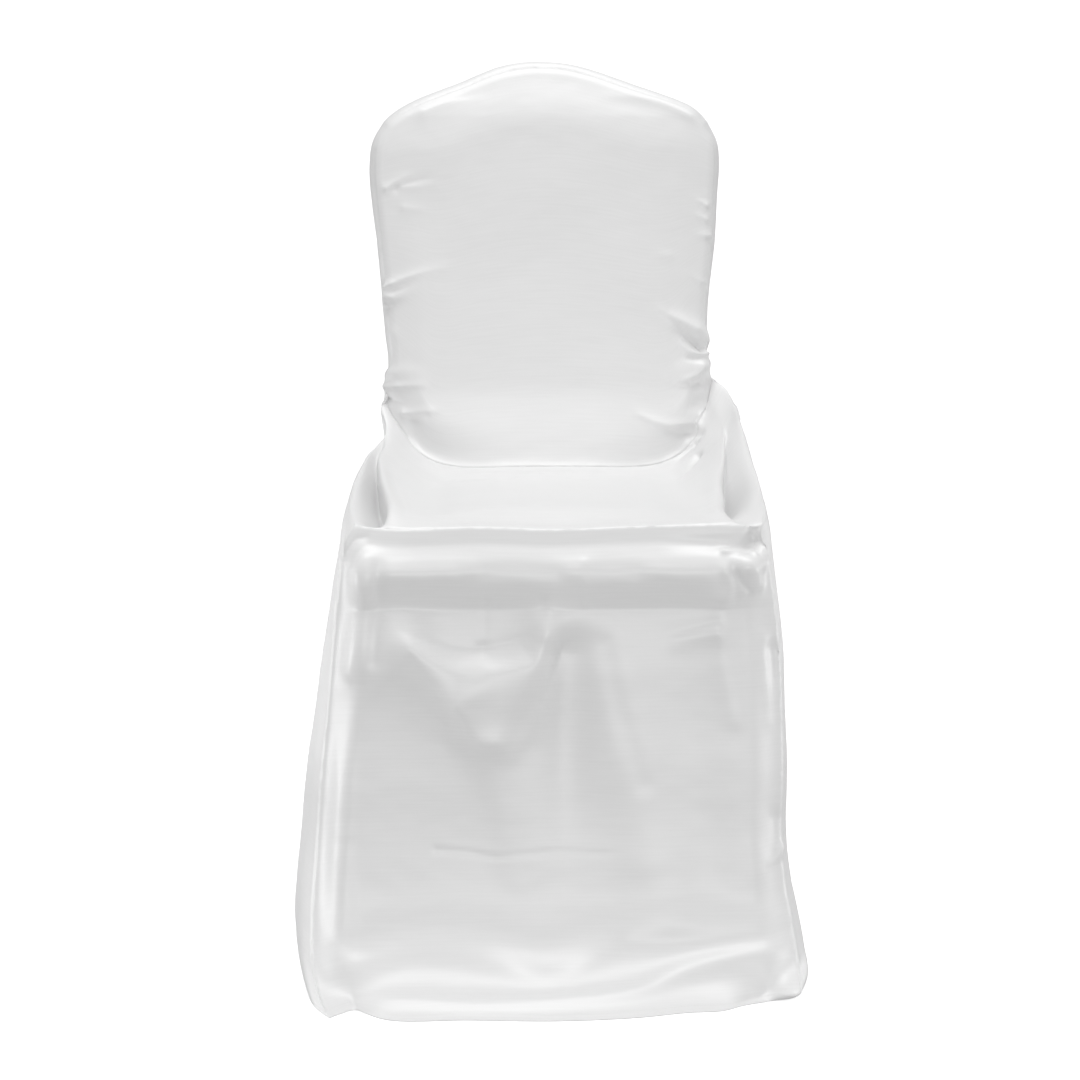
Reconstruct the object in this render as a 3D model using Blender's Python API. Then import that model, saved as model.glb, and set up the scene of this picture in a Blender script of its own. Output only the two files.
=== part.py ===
"""Fitted satin cover for a banquet chair with a crowned back, sewn from six panels of cloth.

All sizes are metres. The tables use the chair's own axes: X to the right, Y from the front edge of
the seat towards the back, Z up from the floor. The cover is first shaped as one sewn skin, then cut
along its seams into panels of real thickness. The last step puts the origin under the crown, where
the chair's top rail carries the cover.
"""

from typing import NamedTuple

import bmesh
import bpy
import numpy as np

# Driving sizes
TOTAL_HEIGHT = 0.950
SEAT_HEIGHT = 0.475
SEAT_DEPTH = 0.385
SEAT_HALF_WIDTH = 0.200
BACK_THICKNESS = 0.038
BACK_RAKE = 0.19
BACK_CROWN = 0.006
TOP_LEAN = 0.010
TOP_LEAN_FROM = 0.886
BACK_FOOT = 0.012
BACK_FOOT_HEIGHT = 0.085
EDGE_ROUND = 0.016
CUSHION_CROWN = 0.006
CLOTH = 0.0015
SHARPEST_MITRE = 2.2
CORNER_THINNING = 0.6
SEAM_GAP = 0.0008
SEAM_INSET = 0.0065
BACK_INSET = 0.010
BACK_FULLNESS = 0.006
HEM_BACK = 0.545
SHOULDER_UP = 0.881

# How far a seam's own line bends the cloth beside it, as a share of the panel
CORNER_REACH = 0.16

# Shares of a panel's width or length at which the cloth is shaped
ACROSS = (0, 0.015, 0.04, 0.08, 0.13, 0.19, 0.26, 0.34, 0.42, 0.5,
          0.58, 0.66, 0.74, 0.81, 0.87, 0.92, 0.96, 0.985, 1)
BACK_DOWN = (0, 0.012, 0.035, 0.075, 0.13, 0.2, 0.3, 0.4, 0.5, 0.6, 0.7, 0.8, 0.88, 0.94, 1)
SEAT_FORWARD = (0, 0.06, 0.13, 0.21, 0.3, 0.4, 0.5, 0.6, 0.7, 0.8, 0.88, 0.94, 0.98, 1)
SKIRT_DOWN = (0, 0.02, 0.045, 0.07, 0.095, 0.12, 0.15, 0.18, 0.22, 0.28, 0.35,
              0.43, 0.52, 0.61, 0.70, 0.77, 0.83, 0.88, 0.93, 0.97, 1)
ROUND_EDGE = (0, 0.2, 0.5, 0.8, 1)
UPPER_SHARE = 0.38


class Outline(NamedTuple):
    """The cover's outline from the front, at one height."""

    up: float
    left: float
    right: float


class Sides(NamedTuple):
    """A seam that runs down both sides, at one height."""

    up: float
    left: float
    right: float
    back: float


class Bulge(NamedTuple):
    """How far the cloth stands out, at one height."""

    up: float
    out: float


class Spot(NamedTuple):
    """A place on a seam."""

    across: float
    back: float
    up: float


class Web(NamedTuple):
    """A cross-section of the web beside the seat, at one depth."""

    back: float
    valley: float
    valley_up: float
    crest: float
    crest_up: float
    slope: float
    slope_up: float
    foot: float
    foot_up: float


class Profile(NamedTuple):
    """The side view of the front skirt, at one height."""

    up: float
    back: float


class Fold(NamedTuple):
    """A soft ridge, or a trough where its lift is negative, along a line of places."""

    line: tuple
    spread: float
    other_spread: float
    lift: float
    end_lift: float


# The crown, from the left shoulder to the right one
CROWN = [
    Spot(-0.1850, 0, 0.8825),
    Spot(-0.1720, 0, 0.8928),
    Spot(-0.1540, 0, 0.9030),
    Spot(-0.1360, 0, 0.9112),
    Spot(-0.1150, 0, 0.9194),
    Spot(-0.0945, 0, 0.9272),
    Spot(-0.0740, 0, 0.9354),
    Spot(-0.0530, 0, 0.9428),
    Spot(-0.0290, 0, 0.9480),
    Spot(0.0000, 0, 0.9500),
    Spot(0.0290, 0, 0.9476),
    Spot(0.0530, 0, 0.9418),
    Spot(0.0740, 0, 0.9350),
    Spot(0.0945, 0, 0.9278),
    Spot(0.1150, 0, 0.9206),
    Spot(0.1360, 0, 0.9134),
    Spot(0.1550, 0, 0.9064),
    Spot(0.1720, 0, 0.8980),
    Spot(0.1860, 0, 0.8850),
]

# Sides of the backrest, from the shoulder to just above the seat's webs
BACKREST = [
    Outline(0.872, -0.1932, 0.1950),
    Outline(0.860, -0.1990, 0.2000),
    Outline(0.845, -0.2022, 0.2024),
    Outline(0.828, -0.2032, 0.2032),
    Outline(0.799, -0.2015, 0.2015),
    Outline(0.770, -0.1980, 0.2002),
    Outline(0.740, -0.1945, 0.1985),
    Outline(0.710, -0.1917, 0.1948),
    Outline(0.680, -0.1890, 0.1912),
    Outline(0.650, -0.1870, 0.1905),
    Outline(0.620, -0.1835, 0.1902),
]

# Side seam below the web, down to the hem
REAR_SEAM = [
    Sides(0.535, -0.181, 0.194, 0.424),
    Sides(0.500, -0.183, 0.196, 0.428),
    Sides(0.420, -0.200, 0.201, 0.434),
    Sides(0.300, -0.222, 0.212, 0.444),
    Sides(0.150, -0.242, 0.228, 0.458),
    Sides(0.040, -0.254, 0.241, 0.468),
    Sides(0.000, -0.258, 0.246, 0.472),
]

# Where the rounded edge of the backrest, and below it the rear corner, meets the flat back
BACK_EDGE = [
    Outline(0.565, -0.175, 0.180),
    Outline(0.450, -0.184, 0.187),
    Outline(0.300, -0.197, 0.199),
    Outline(0.150, -0.208, 0.209),
    Outline(0.000, -0.215, 0.216),
]

# How far the cloth stands out where it turns from the side seams to the flat back
BULGES = [
    Bulge(TOTAL_HEIGHT, (SEAM_INSET + BACK_INSET) / 2),
    Bulge(0.640, (SEAM_INSET + BACK_INSET) / 2),
    Bulge(0.560, 0.003),
    Bulge(0.500, 0.003),
    Bulge(0.400, 0.009),
    Bulge(0.000, 0.020),
]

# Top of the webs: where the side seam, the seat and the inside back come together
LEFT_PEAK = Spot(-0.186, 0.420, 0.566)
RIGHT_PEAK = Spot(0.192, 0.420, 0.588)

# Outer rim of each web, from its peak to the front corner of the seat
LEFT_RIM = [
    LEFT_PEAK,
    Spot(-0.190, 0.410, 0.554),
    Spot(-0.181, 0.394, 0.532),
    Spot(-0.192, 0.362, 0.517),
    Spot(-0.201, 0.310, 0.511),
    Spot(-0.207, 0.220, 0.504),
    Spot(-0.210, 0.130, 0.494),
    Spot(-0.209, 0.060, 0.484),
    Spot(-0.204, 0.008, 0.472),
]
RIGHT_RIM = [
    RIGHT_PEAK,
    Spot(0.205, 0.408, 0.579),
    Spot(0.214, 0.380, 0.564),
    Spot(0.217, 0.320, 0.545),
    Spot(0.218, 0.260, 0.525),
    Spot(0.218, 0.180, 0.505),
    Spot(0.216, 0.100, 0.488),
    Spot(0.213, 0.045, 0.479),
    Spot(0.207, 0.008, 0.471),
]

# Cross-sections of the webs: a valley inside the rim, the crest of a soft fold, and its foot
LEFT_WEB = [
    Web(0.360, -0.1860, 0.5190, -0.1780, 0.5190, -0.1590, 0.5030, -0.1310, 0.4800),
    Web(0.300, -0.1960, 0.5090, -0.1900, 0.5110, -0.1690, 0.5000, -0.1330, 0.4810),
    Web(0.220, -0.1990, 0.4960, -0.1900, 0.5030, -0.1690, 0.4940, -0.1330, 0.4820),
    Web(0.150, -0.1950, 0.4830, -0.1820, 0.4940, -0.1620, 0.4880, -0.1290, 0.4810),
    Web(0.080, -0.1890, 0.4740, -0.1730, 0.4860, -0.1540, 0.4820, -0.1260, 0.4790),
    Web(0.030, -0.1820, 0.4710, -0.1680, 0.4800, -0.1500, 0.4780, -0.1250, 0.4760),
]
RIGHT_WEB = [
    Web(0.360, 0.2050, 0.5420, 0.1960, 0.5320, 0.1750, 0.5080, 0.1490, 0.4850),
    Web(0.300, 0.2030, 0.5200, 0.1930, 0.5190, 0.1710, 0.5000, 0.1440, 0.4830),
    Web(0.220, 0.1980, 0.4970, 0.1840, 0.5050, 0.1640, 0.4930, 0.1380, 0.4820),
    Web(0.150, 0.1940, 0.4820, 0.1770, 0.4930, 0.1560, 0.4860, 0.1320, 0.4810),
    Web(0.080, 0.1900, 0.4740, 0.1710, 0.4840, 0.1510, 0.4810, 0.1280, 0.4790),
    Web(0.030, 0.1850, 0.4710, 0.1670, 0.4790, 0.1480, 0.4770, 0.1250, 0.4760),
]

# Seam between the inside back and the seat, which climbs the backrest at both ends
BACK_SEAT_SEAM = [
    LEFT_PEAK,
    Spot(-0.178, 0.409, 0.550),
    Spot(-0.167, 0.401, 0.535),
    Spot(-0.155, 0.396, 0.518),
    Spot(-0.147, 0.392, 0.501),
    Spot(-0.139, 0.388, 0.485),
    Spot(-0.127, 0.386, 0.477),
    Spot(-0.090, 0.377, 0.479),
    Spot(0.000, 0.374, 0.480),
    Spot(0.110, 0.377, 0.479),
    Spot(0.146, 0.386, 0.477),
    Spot(0.160, 0.388, 0.485),
    Spot(0.168, 0.392, 0.500),
    Spot(0.173, 0.396, 0.516),
    Spot(0.178, 0.401, 0.534),
    Spot(0.1845, 0.4065, 0.5550),
    RIGHT_PEAK,
]

# Front edge of the seat
SEAT_FRONT = [
    LEFT_RIM[-1],
    Spot(-0.165, 0.001, 0.469),
    Spot(-0.090, -0.001, 0.471),
    Spot(0.000, -0.002, 0.469),
    Spot(0.090, -0.001, 0.472),
    Spot(0.165, 0.000, 0.473),
    RIGHT_RIM[-1],
]

# Front corners of the skirt, from the seat's corner to the hem
FRONT_CORNER = [
    Sides(0.458, -0.212, 0.210, 0.000),
    Sides(0.430, -0.217, 0.214, -0.006),
    Sides(0.390, -0.222, 0.219, -0.009),
    Sides(0.330, -0.228, 0.226, -0.010),
    Sides(0.230, -0.238, 0.229, -0.013),
    Sides(0.130, -0.246, 0.229, -0.018),
    Sides(0.070, -0.249, 0.236, -0.026),
    Sides(0.030, -0.247, 0.242, -0.042),
    Sides(0.008, -0.237, 0.238, -0.078),
]

# Side view of the front skirt: over the cushion, under it, and out across the floor
SKIRT_PROFILE = [
    Profile(0.470, -0.001),
    Profile(0.460, -0.004),
    Profile(0.448, -0.007),
    Profile(0.438, -0.013),
    Profile(0.427, -0.018),
    Profile(0.412, -0.019),
    Profile(0.398, -0.014),
    Profile(0.384, -0.009),
    Profile(0.350, -0.009),
    Profile(0.250, -0.012),
    Profile(0.140, -0.018),
    Profile(0.082, -0.026),
    Profile(0.048, -0.040),
    Profile(0.024, -0.066),
    Profile(0.010, -0.094),
    Profile(0.002, -0.120),
]

# The hem on the floor, from the left rear seam round the front to the right rear seam
HEM = [
    Spot(-0.258, 0.472, 0),
    Spot(-0.264, 0.360, 0),
    Spot(-0.266, 0.220, 0),
    Spot(-0.262, 0.080, 0),
    Spot(-0.253, -0.030, 0),
    Spot(-0.241, -0.084, 0),
    Spot(-0.227, -0.112, 0),
    Spot(-0.203, -0.087, 0),
    Spot(-0.176, -0.113, 0),
    Spot(-0.089, -0.122, 0),
    Spot(0.000, -0.127, 0),
    Spot(0.078, -0.118, 0),
    Spot(0.128, -0.104, 0),
    Spot(0.175, -0.088, 0),
    Spot(0.228, -0.064, 0),
    Spot(0.243, -0.014, 0),
    Spot(0.246, 0.080, 0),
    Spot(0.247, 0.220, 0),
    Spot(0.248, 0.360, 0),
    Spot(0.246, 0.472, 0),
]
HEM_LEFT_CORNER = 6
HEM_RIGHT_CORNER = 14

# Main folds of the cloth
FOLDS = [
    # pulls at the lower sides of the backrest
    Fold((Spot(-0.188, 0.430, 0.680), Spot(-0.135, 0.420, 0.694)), 0.009, 0.007, 0.005, 0.000),
    Fold((Spot(-0.183, 0.422, 0.592), Spot(-0.150, 0.405, 0.595)), 0.009, 0.007, 0.005, 0.001),
    Fold((Spot(0.186, 0.420, 0.632), Spot(0.140, 0.414, 0.664)), 0.012, 0.009, 0.007, 0.000),
    Fold((Spot(0.188, 0.415, 0.606), Spot(0.150, 0.405, 0.596)), 0.010, 0.008, 0.006, 0.001),
    Fold((Spot(0.176, 0.400, 0.545), Spot(0.128, 0.396, 0.548)), 0.010, 0.007, 0.005, 0.000),
    # tuck under the right front corner, and the leg under the left one
    Fold((Spot(0.200, -0.006, 0.452), Spot(0.100, -0.008, 0.456)), 0.008, 0.008, -0.007, 0.000),
    Fold((Spot(0.203, -0.010, 0.436), Spot(0.178, -0.018, 0.438)), 0.011, 0.011, 0.010, 0.004),
    Fold((Spot(-0.193, -0.010, 0.420), Spot(-0.206, -0.018, 0.080)), 0.016, 0.022, 0.006, 0.007),
    Fold((Spot(0.168, -0.012, 0.400), Spot(0.196, -0.018, 0.120)), 0.035, 0.020, 0.004, 0.006),
    # soft swags in the front skirt
    Fold((Spot(-0.150, -0.010, 0.358), Spot(-0.075, -0.012, 0.255), Spot(-0.040, -0.020, 0.140)),
         0.026, 0.032, 0.010, 0.007),
    Fold((Spot(-0.014, -0.010, 0.360), Spot(-0.060, -0.012, 0.262)), 0.020, 0.022, 0.009, 0.005),
    Fold((Spot(0.006, -0.010, 0.340), Spot(0.012, -0.016, 0.120)), 0.020, 0.028, -0.007, -0.004),
    Fold((Spot(0.060, -0.010, 0.320), Spot(0.110, -0.020, 0.100)), 0.036, 0.040, 0.005, 0.010),
    # the two long waves where the front breaks on the floor
    Fold((Spot(-0.225, -0.030, 0.050), Spot(-0.100, -0.036, 0.058), Spot(0.000, -0.034, 0.046),
          Spot(0.090, -0.036, 0.074), Spot(0.232, -0.028, 0.088)), 0.012, 0.016, 0.005, 0.008),
    Fold((Spot(-0.210, -0.062, 0.020), Spot(0.000, -0.080, 0.018), Spot(0.120, -0.056, 0.036),
          Spot(0.236, -0.036, 0.062)), 0.012, 0.016, 0.003, 0.007),
    # flutes of the sides, growing towards the hem
    Fold((Spot(-0.210, 0.330, 0.430), Spot(-0.262, 0.350, 0.020)), 0.035, 0.030, 0.002, 0.009),
    Fold((Spot(-0.214, 0.200, 0.420), Spot(-0.264, 0.230, 0.020)), 0.026, 0.030, -0.003, -0.009),
    Fold((Spot(-0.220, 0.090, 0.400), Spot(-0.260, 0.110, 0.020)), 0.034, 0.028, 0.002, 0.005),
    Fold((Spot(0.212, 0.340, 0.450), Spot(0.254, 0.330, 0.020)), 0.030, 0.036, 0.002, 0.008),
    Fold((Spot(0.216, 0.220, 0.440), Spot(0.252, 0.210, 0.020)), 0.026, 0.024, -0.004, -0.010),
    Fold((Spot(0.228, 0.110, 0.330), Spot(0.232, 0.100, 0.180)), 0.030, 0.026, 0.000, -0.004),
    Fold((Spot(0.232, 0.060, 0.150), Spot(0.238, 0.050, 0.100)), 0.018, 0.022, -0.006, -0.003),
    # flutes of the back
    Fold((Spot(-0.110, 0.532, 0.420), Spot(-0.140, 0.545, 0.020)), 0.034, 0.040, 0.002, 0.013),
    Fold((Spot(-0.030, 0.532, 0.460), Spot(-0.036, 0.545, 0.020)), 0.030, 0.034, -0.002, -0.011),
    Fold((Spot(0.050, 0.532, 0.400), Spot(0.070, 0.545, 0.020)), 0.036, 0.034, 0.001, 0.012),
    Fold((Spot(0.130, 0.532, 0.380), Spot(0.158, 0.545, 0.020)), 0.026, 0.030, -0.001, -0.009),
]

PANEL_COLOURS = {
    "inside_back": (0.80, 0.80, 0.80, 1),
    "seat": (0.84, 0.84, 0.84, 1),
    "front_skirt": (0.80, 0.80, 0.80, 1),
    "side_left": (0.82, 0.82, 0.82, 1),
    "side_right": (0.82, 0.82, 0.82, 1),
    "outside_back": (0.80, 0.80, 0.80, 1),
}
SATIN_ROUGHNESS = 0.35
SATIN_SHEEN = 0.3


def resample(points, shares):
    """Points at these shares of the length of a line of close points."""
    along = np.concatenate([[0], np.cumsum(np.linalg.norm(np.diff(points, axis=0), axis=1))])
    wanted = np.array(shares, float) * along[-1]
    return np.stack([np.interp(wanted, along, points[:, axis]) for axis in range(3)], axis=1)


def curve(places, shares):
    """Points at these shares of the length of a smooth curve through the places."""
    places = np.array(places, float)
    chords = np.linalg.norm(np.diff(places, axis=0), axis=1)
    knots = np.concatenate([[0], np.cumsum(chords)])
    slopes = np.gradient(places, knots, axis=0)
    fine = np.linspace(0, knots[-1], 40 * len(chords) + 1)
    span = np.clip(np.searchsorted(knots, fine, side="right") - 1, 0, len(chords) - 1)
    width = (knots[span + 1] - knots[span])[:, None]
    t = (fine - knots[span])[:, None] / width
    points = ((1 + 2 * t) * (1 - t) ** 2 * places[span]
              + t * (1 - t) ** 2 * width * slopes[span]
              + t ** 2 * (3 - 2 * t) * places[span + 1]
              + t ** 2 * (t - 1) * width * slopes[span + 1])
    return resample(points, shares)


def lerp(a, b, share):
    """The mix of two values or points."""
    return a + (b - a) * share


def backrest_plane(up):
    """Depth of the backrest's plane at a height."""
    return SEAT_DEPTH + BACK_RAKE * (up - SEAT_HEIGHT)


def backrest_front(up):
    """Depth of the backrest's front face at a height: it leans back more at the top."""
    top = np.clip((up - TOP_LEAN_FROM) / (TOTAL_HEIGHT - TOP_LEAN_FROM), 0, 1)
    return backrest_plane(up) + TOP_LEAN * top ** 1.3


def backrest_back(up):
    """Depth of the outside back, which hangs from the crown to the hem."""
    crown = backrest_plane(TOTAL_HEIGHT) + BACK_THICKNESS
    return lerp(HEM_BACK, crown, up / TOTAL_HEIGHT)


def edge_depth(up, distance):
    """Depth of the cloth on the backrest's rounded front edge, this far inside its outline."""
    beyond = np.clip((EDGE_ROUND - distance) / EDGE_ROUND, 0, 1)
    return backrest_front(up) + BACK_THICKNESS / 2 * (1 - np.sqrt(1 - beyond ** 2))


def backrest_line(distance, depth_of):
    """The backrest's outline moved in: its left side, its crown and its right side."""
    left = [Spot(row.left, 0, row.up) for row in BACKREST]
    right = [Spot(row.right, 0, row.up) for row in BACKREST]
    line = curve(left[::-1] + CROWN + right, np.linspace(0, 1, 401))
    on_crown = np.flatnonzero(line[:, 2] > SHOULDER_UP)
    along = np.gradient(line, axis=0)
    inward = np.stack([along[:, 2], np.zeros(len(line)), -along[:, 0]], axis=1)
    line = line + distance * inward / np.linalg.norm(inward, axis=1)[:, None]
    line[:, 1] = depth_of(line[:, 2])
    first, last = on_crown[0], on_crown[-1]
    return line[first::-1], line[first:last + 1], line[last:]


def seam_depth(up):
    """Depth of the seam along the backrest's edge."""
    return edge_depth(up, SEAM_INSET)


def backrest_seams():
    """The seams round the backrest: crown, and each side down to its peak and on to the hem."""
    left, crown, right = backrest_line(SEAM_INSET, seam_depth)
    sides = []
    for name, peak, line in (("left", LEFT_PEAK, left), ("right", RIGHT_PEAK, right)):
        upper = curve([*line[::12], line[-1], peak], BACK_DOWN)
        lower = [peak] + [(getattr(row, name), row.back, row.up) for row in REAR_SEAM]
        sides.append((upper, curve(lower, SKIRT_DOWN)))
    return resample(crown, ACROSS), sides


def back_edges(down):
    """The edges of the flat back: crown, left and right."""
    left, crown, right = backrest_line(BACK_INSET, backrest_back)
    sides = []
    for name, line in (("left", left), ("right", right)):
        rows = [(getattr(row, name), backrest_back(row.up), row.up) for row in BACK_EDGE]
        sides.append(curve([*line[::12], *rows], down))
    return resample(crown, ACROSS), sides


def falloff(shares, reach):
    """How strongly an edge holds the cloth, from 1 at the edge to 0 past its reach."""
    t = np.clip(np.array(shares, float) / reach, 0, 1)
    return (1 - t) ** 2 * (1 + 2 * t)


def held_by_seams(base, top, bottom, left, right, down, across, reach_down, reach_across):
    """A base grid pulled onto its four seams, each of which fades out over its reach."""
    down, across = np.array(down, float), np.array(across, float)
    rows = (falloff(down, reach_down)[:, None, None], falloff(1 - down, reach_down)[:, None, None])
    columns = (falloff(across, reach_across)[None, :, None],
               falloff(1 - across, reach_across)[None, :, None])
    pull = rows[0] * (top - base[0])[None] + rows[1] * (bottom - base[-1])[None]
    pull = pull + columns[0] * (left - base[:, 0])[:, None]
    pull = pull + columns[1] * (right - base[:, -1])[:, None]
    for row, end in ((rows[0], 0), (rows[1], -1)):
        for column, side, seam in ((columns[0], 0, left), (columns[1], -1, right)):
            pull = pull - row * column * (seam[end] - base[end, side])
    return base + pull


def coons(top, bottom, left, right, down, across):
    """The plain sheet between four edges."""
    v = np.array(down, float)[:, None, None]
    u = np.array(across, float)[None, :, None]
    corners = ((1 - u) * (1 - v) * top[0] + u * (1 - v) * top[-1]
               + (1 - u) * v * bottom[0] + u * v * bottom[-1])
    return lerp(top[None], bottom[None], v) + lerp(left[:, None], right[:, None], u) - corners


def distance_to_line(points, line):
    """Distance of each point from a line of places, with the share along it and the side."""
    best = np.full(len(points), np.inf)
    share = np.zeros(len(points))
    offset = np.zeros_like(points)
    tangent = np.zeros_like(points)
    count = len(line) - 1
    for index in range(count):
        start, step = line[index], line[index + 1] - line[index]
        t = np.clip(((points - start) @ step) / (step @ step), 0, 1)
        away = points - start - t[:, None] * step
        distance = np.linalg.norm(away, axis=1)
        nearer = distance < best
        best = np.where(nearer, distance, best)
        share = np.where(nearer, (index + t) / count, share)
        offset[nearer] = away[nearer]
        tangent[nearer] = step
    return best, share, offset, tangent


def fold_lift(points, normals, fold):
    """How far a fold lifts each point of the skin along its normal."""
    line = curve(fold.line, np.linspace(0, 1, 13))
    distance, share, offset, tangent = distance_to_line(points, line)
    side = (np.cross(tangent, normals) * offset).sum(axis=1)
    spread = np.where(side > 0, fold.spread, fold.other_spread)
    return lerp(fold.lift, fold.end_lift, share) * np.exp(-((distance / spread) ** 2))


def inside_back(crown, left, right, bottom):
    """The front of the backrest: a soft pad whose edges turn back to the crown and side seams."""
    base = coons(crown, bottom, left, right, BACK_DOWN, ACROSS)
    flat = base.reshape(-1, 3)
    outline = np.concatenate([left[::-1], crown[1:-1], right])
    outline = resample(outline, np.linspace(0, 1, 300))
    from_seam = np.min(np.linalg.norm(flat[:, None, ::2] - outline[None, :, ::2], axis=2), axis=1)
    width = np.clip(np.abs(flat[:, 0]) / SEAT_HALF_WIDTH, 0, 1)
    foot = BACK_FOOT * falloff((flat[:, 2] - SEAT_HEIGHT), BACK_FOOT_HEIGHT) * (1 - width ** 4)
    flat[:, 1] = edge_depth(flat[:, 2], SEAM_INSET + from_seam) - BACK_CROWN * (1 - width ** 2)
    flat[:, 1] -= foot
    base = flat.reshape(base.shape)
    return held_by_seams(base, crown, bottom, left, right, BACK_DOWN, ACROSS,
                         CORNER_REACH, CORNER_REACH)


def web_columns(rim, rows, seam, front):
    """Columns of a web from its rim inwards: the rim's roll, valley, crest, slope and foot."""
    columns = []
    for index, name in enumerate(("valley", "crest", "slope", "foot")):
        places = [(getattr(row, name), row.back, getattr(row, name + "_up")) for row in rows]
        columns.append(curve([seam[index + 2], *places, front[index + 2]], SEAT_FORWARD))
    roll = lerp(rim, columns[0], 0.35)
    roll[:, 2] += 0.002 * np.sin(np.pi * np.array(SEAT_FORWARD))
    roll[0], roll[-1] = seam[1], front[1]
    return [rim, roll, *columns]


def seat(rear, front, left, right):
    """The seat: a cushion's top between two webs that climb to the peaks at its rear corners."""
    webs = (web_columns(left, LEFT_WEB, rear, front),
            web_columns(right, RIGHT_WEB, rear[::-1], front[::-1]))
    columns = [*webs[0], *webs[1][::-1]]
    edge = len(webs[0])
    middle = len(ACROSS) - 2 * edge
    forward = np.array(SEAT_FORWARD)
    level = falloff(forward, CORNER_REACH) + falloff(1 - forward, CORNER_REACH)
    inner = []
    for index in range(middle):
        share = (index + 1) / (middle + 1)
        line = lerp(webs[0][-1], webs[1][-1], share)
        crown = CUSHION_CROWN * (1 - (2 * share - 1) ** 2) * (1 - level)
        line[:, 2] = lerp(line[:, 2] + crown, SEAT_HEIGHT, level)
        ends = np.stack([falloff(forward, CORNER_REACH), falloff(1 - forward, CORNER_REACH)])
        line += ends[0][:, None] * (rear[edge + index] - line[0])
        line += ends[1][:, None] * (front[edge + index] - line[-1])
        inner.append(line)
    columns[edge:edge] = inner
    return np.stack(columns, axis=1)


def front_skirt(top, hem, left, right):
    """The front skirt: over the cushion's front, down between the legs and out on the floor."""
    profile = curve([(0, row.back, row.up) for row in SKIRT_PROFILE], SKIRT_DOWN)
    base = np.zeros((len(SKIRT_DOWN), len(ACROSS), 3))
    for row in range(len(SKIRT_DOWN)):
        base[row, :, 0] = lerp(left[row, 0], right[row, 0], np.array(ACROSS))
        base[row, :, 1:] = profile[row, 1:]
    return held_by_seams(base, top, hem, left, right, SKIRT_DOWN, ACROSS,
                         CORNER_REACH, CORNER_REACH)


def turned_edge(seam, edge, bulges):
    """The strip of the outside back that turns round an edge, from its seam to the flat back."""
    chord = edge - seam
    outward = np.cross(np.gradient(seam, axis=0), chord)
    outward *= (bulges * 4 / 3 / np.linalg.norm(outward, axis=1))[:, None]
    near_seam = seam + 0.25 * chord + outward
    near_edge = edge - 0.12 * chord + outward
    t = np.array(ROUND_EDGE)[:, None, None]
    return ((1 - t) ** 3 * seam + 3 * t * (1 - t) ** 2 * near_seam
            + 3 * t ** 2 * (1 - t) * near_edge + t ** 3 * edge)


def outside_back(crown_seam, sides):
    """The back: a strip that turns round every edge, and the flat cloth that hangs to the hem."""
    upper = np.array(BACK_DOWN) * UPPER_SHARE
    down = np.concatenate([upper, lerp(UPPER_SHARE, 1, np.array(SKIRT_DOWN[1:]))])
    crown, (left, right) = back_edges(down)
    (left_upper, left_lower), (right_upper, right_lower) = sides
    seam = np.concatenate([left_lower[:0:-1], left_upper[:0:-1], crown_seam,
                           right_upper[1:], right_lower[1:]])
    edge = np.concatenate([left[:0:-1], crown, right[1:]])
    level = [row.up for row in BULGES[::-1]]
    bulges = np.interp(seam[:, 2], level, [row.out for row in BULGES[::-1]])
    strip = turned_edge(seam, edge, bulges)
    strip[:, (0, -1), 2] = 0
    hem = curve([left[-1], (0, HEM_BACK + 0.010, 0), right[-1]], ACROSS)
    flat = coons(crown, hem, left, right, down, ACROSS)
    flat[1:-1, :, 1] += BACK_FULLNESS * np.sin(np.pi * np.array(ACROSS)) ** 0.5
    return [strip, flat]


def sewn_skin():
    """Every panel of the cover as a grid of points that shares its edges with its neighbours."""
    crown, sides = backrest_seams()
    (left_side, left_rear), (right_side, right_rear) = sides
    left_rim, right_rim = curve(LEFT_RIM, SEAT_FORWARD), curve(RIGHT_RIM, SEAT_FORWARD)
    back_seat = curve(BACK_SEAT_SEAM, ACROSS)
    seat_front = curve(SEAT_FRONT, ACROSS)
    hem_left = curve(HEM[:HEM_LEFT_CORNER + 1], SEAT_FORWARD)
    hem_front = curve(HEM[HEM_LEFT_CORNER:HEM_RIGHT_CORNER + 1], ACROSS)
    hem_right = curve(HEM[:HEM_RIGHT_CORNER - 1:-1], SEAT_FORWARD)
    corners = []
    for name, rim, hem in (("left", LEFT_RIM[-1], HEM[HEM_LEFT_CORNER]),
                           ("right", RIGHT_RIM[-1], HEM[HEM_RIGHT_CORNER])):
        places = [rim] + [(getattr(row, name), row.back, row.up) for row in FRONT_CORNER] + [hem]
        corners.append(curve(places, SKIRT_DOWN))
    return {
        "inside_back": [inside_back(crown, left_side, right_side, back_seat)],
        "seat": [seat(back_seat, seat_front, left_rim, right_rim)],
        "front_skirt": [front_skirt(seat_front, hem_front, corners[0], corners[1])],
        "side_left": [coons(left_rim, hem_left, left_rear, corners[0], SKIRT_DOWN, SEAT_FORWARD)],
        "side_right": [coons(right_rim, hem_right, right_rear, corners[1],
                             SKIRT_DOWN, SEAT_FORWARD)],
        "outside_back": outside_back(crown, sides),
    }


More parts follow.
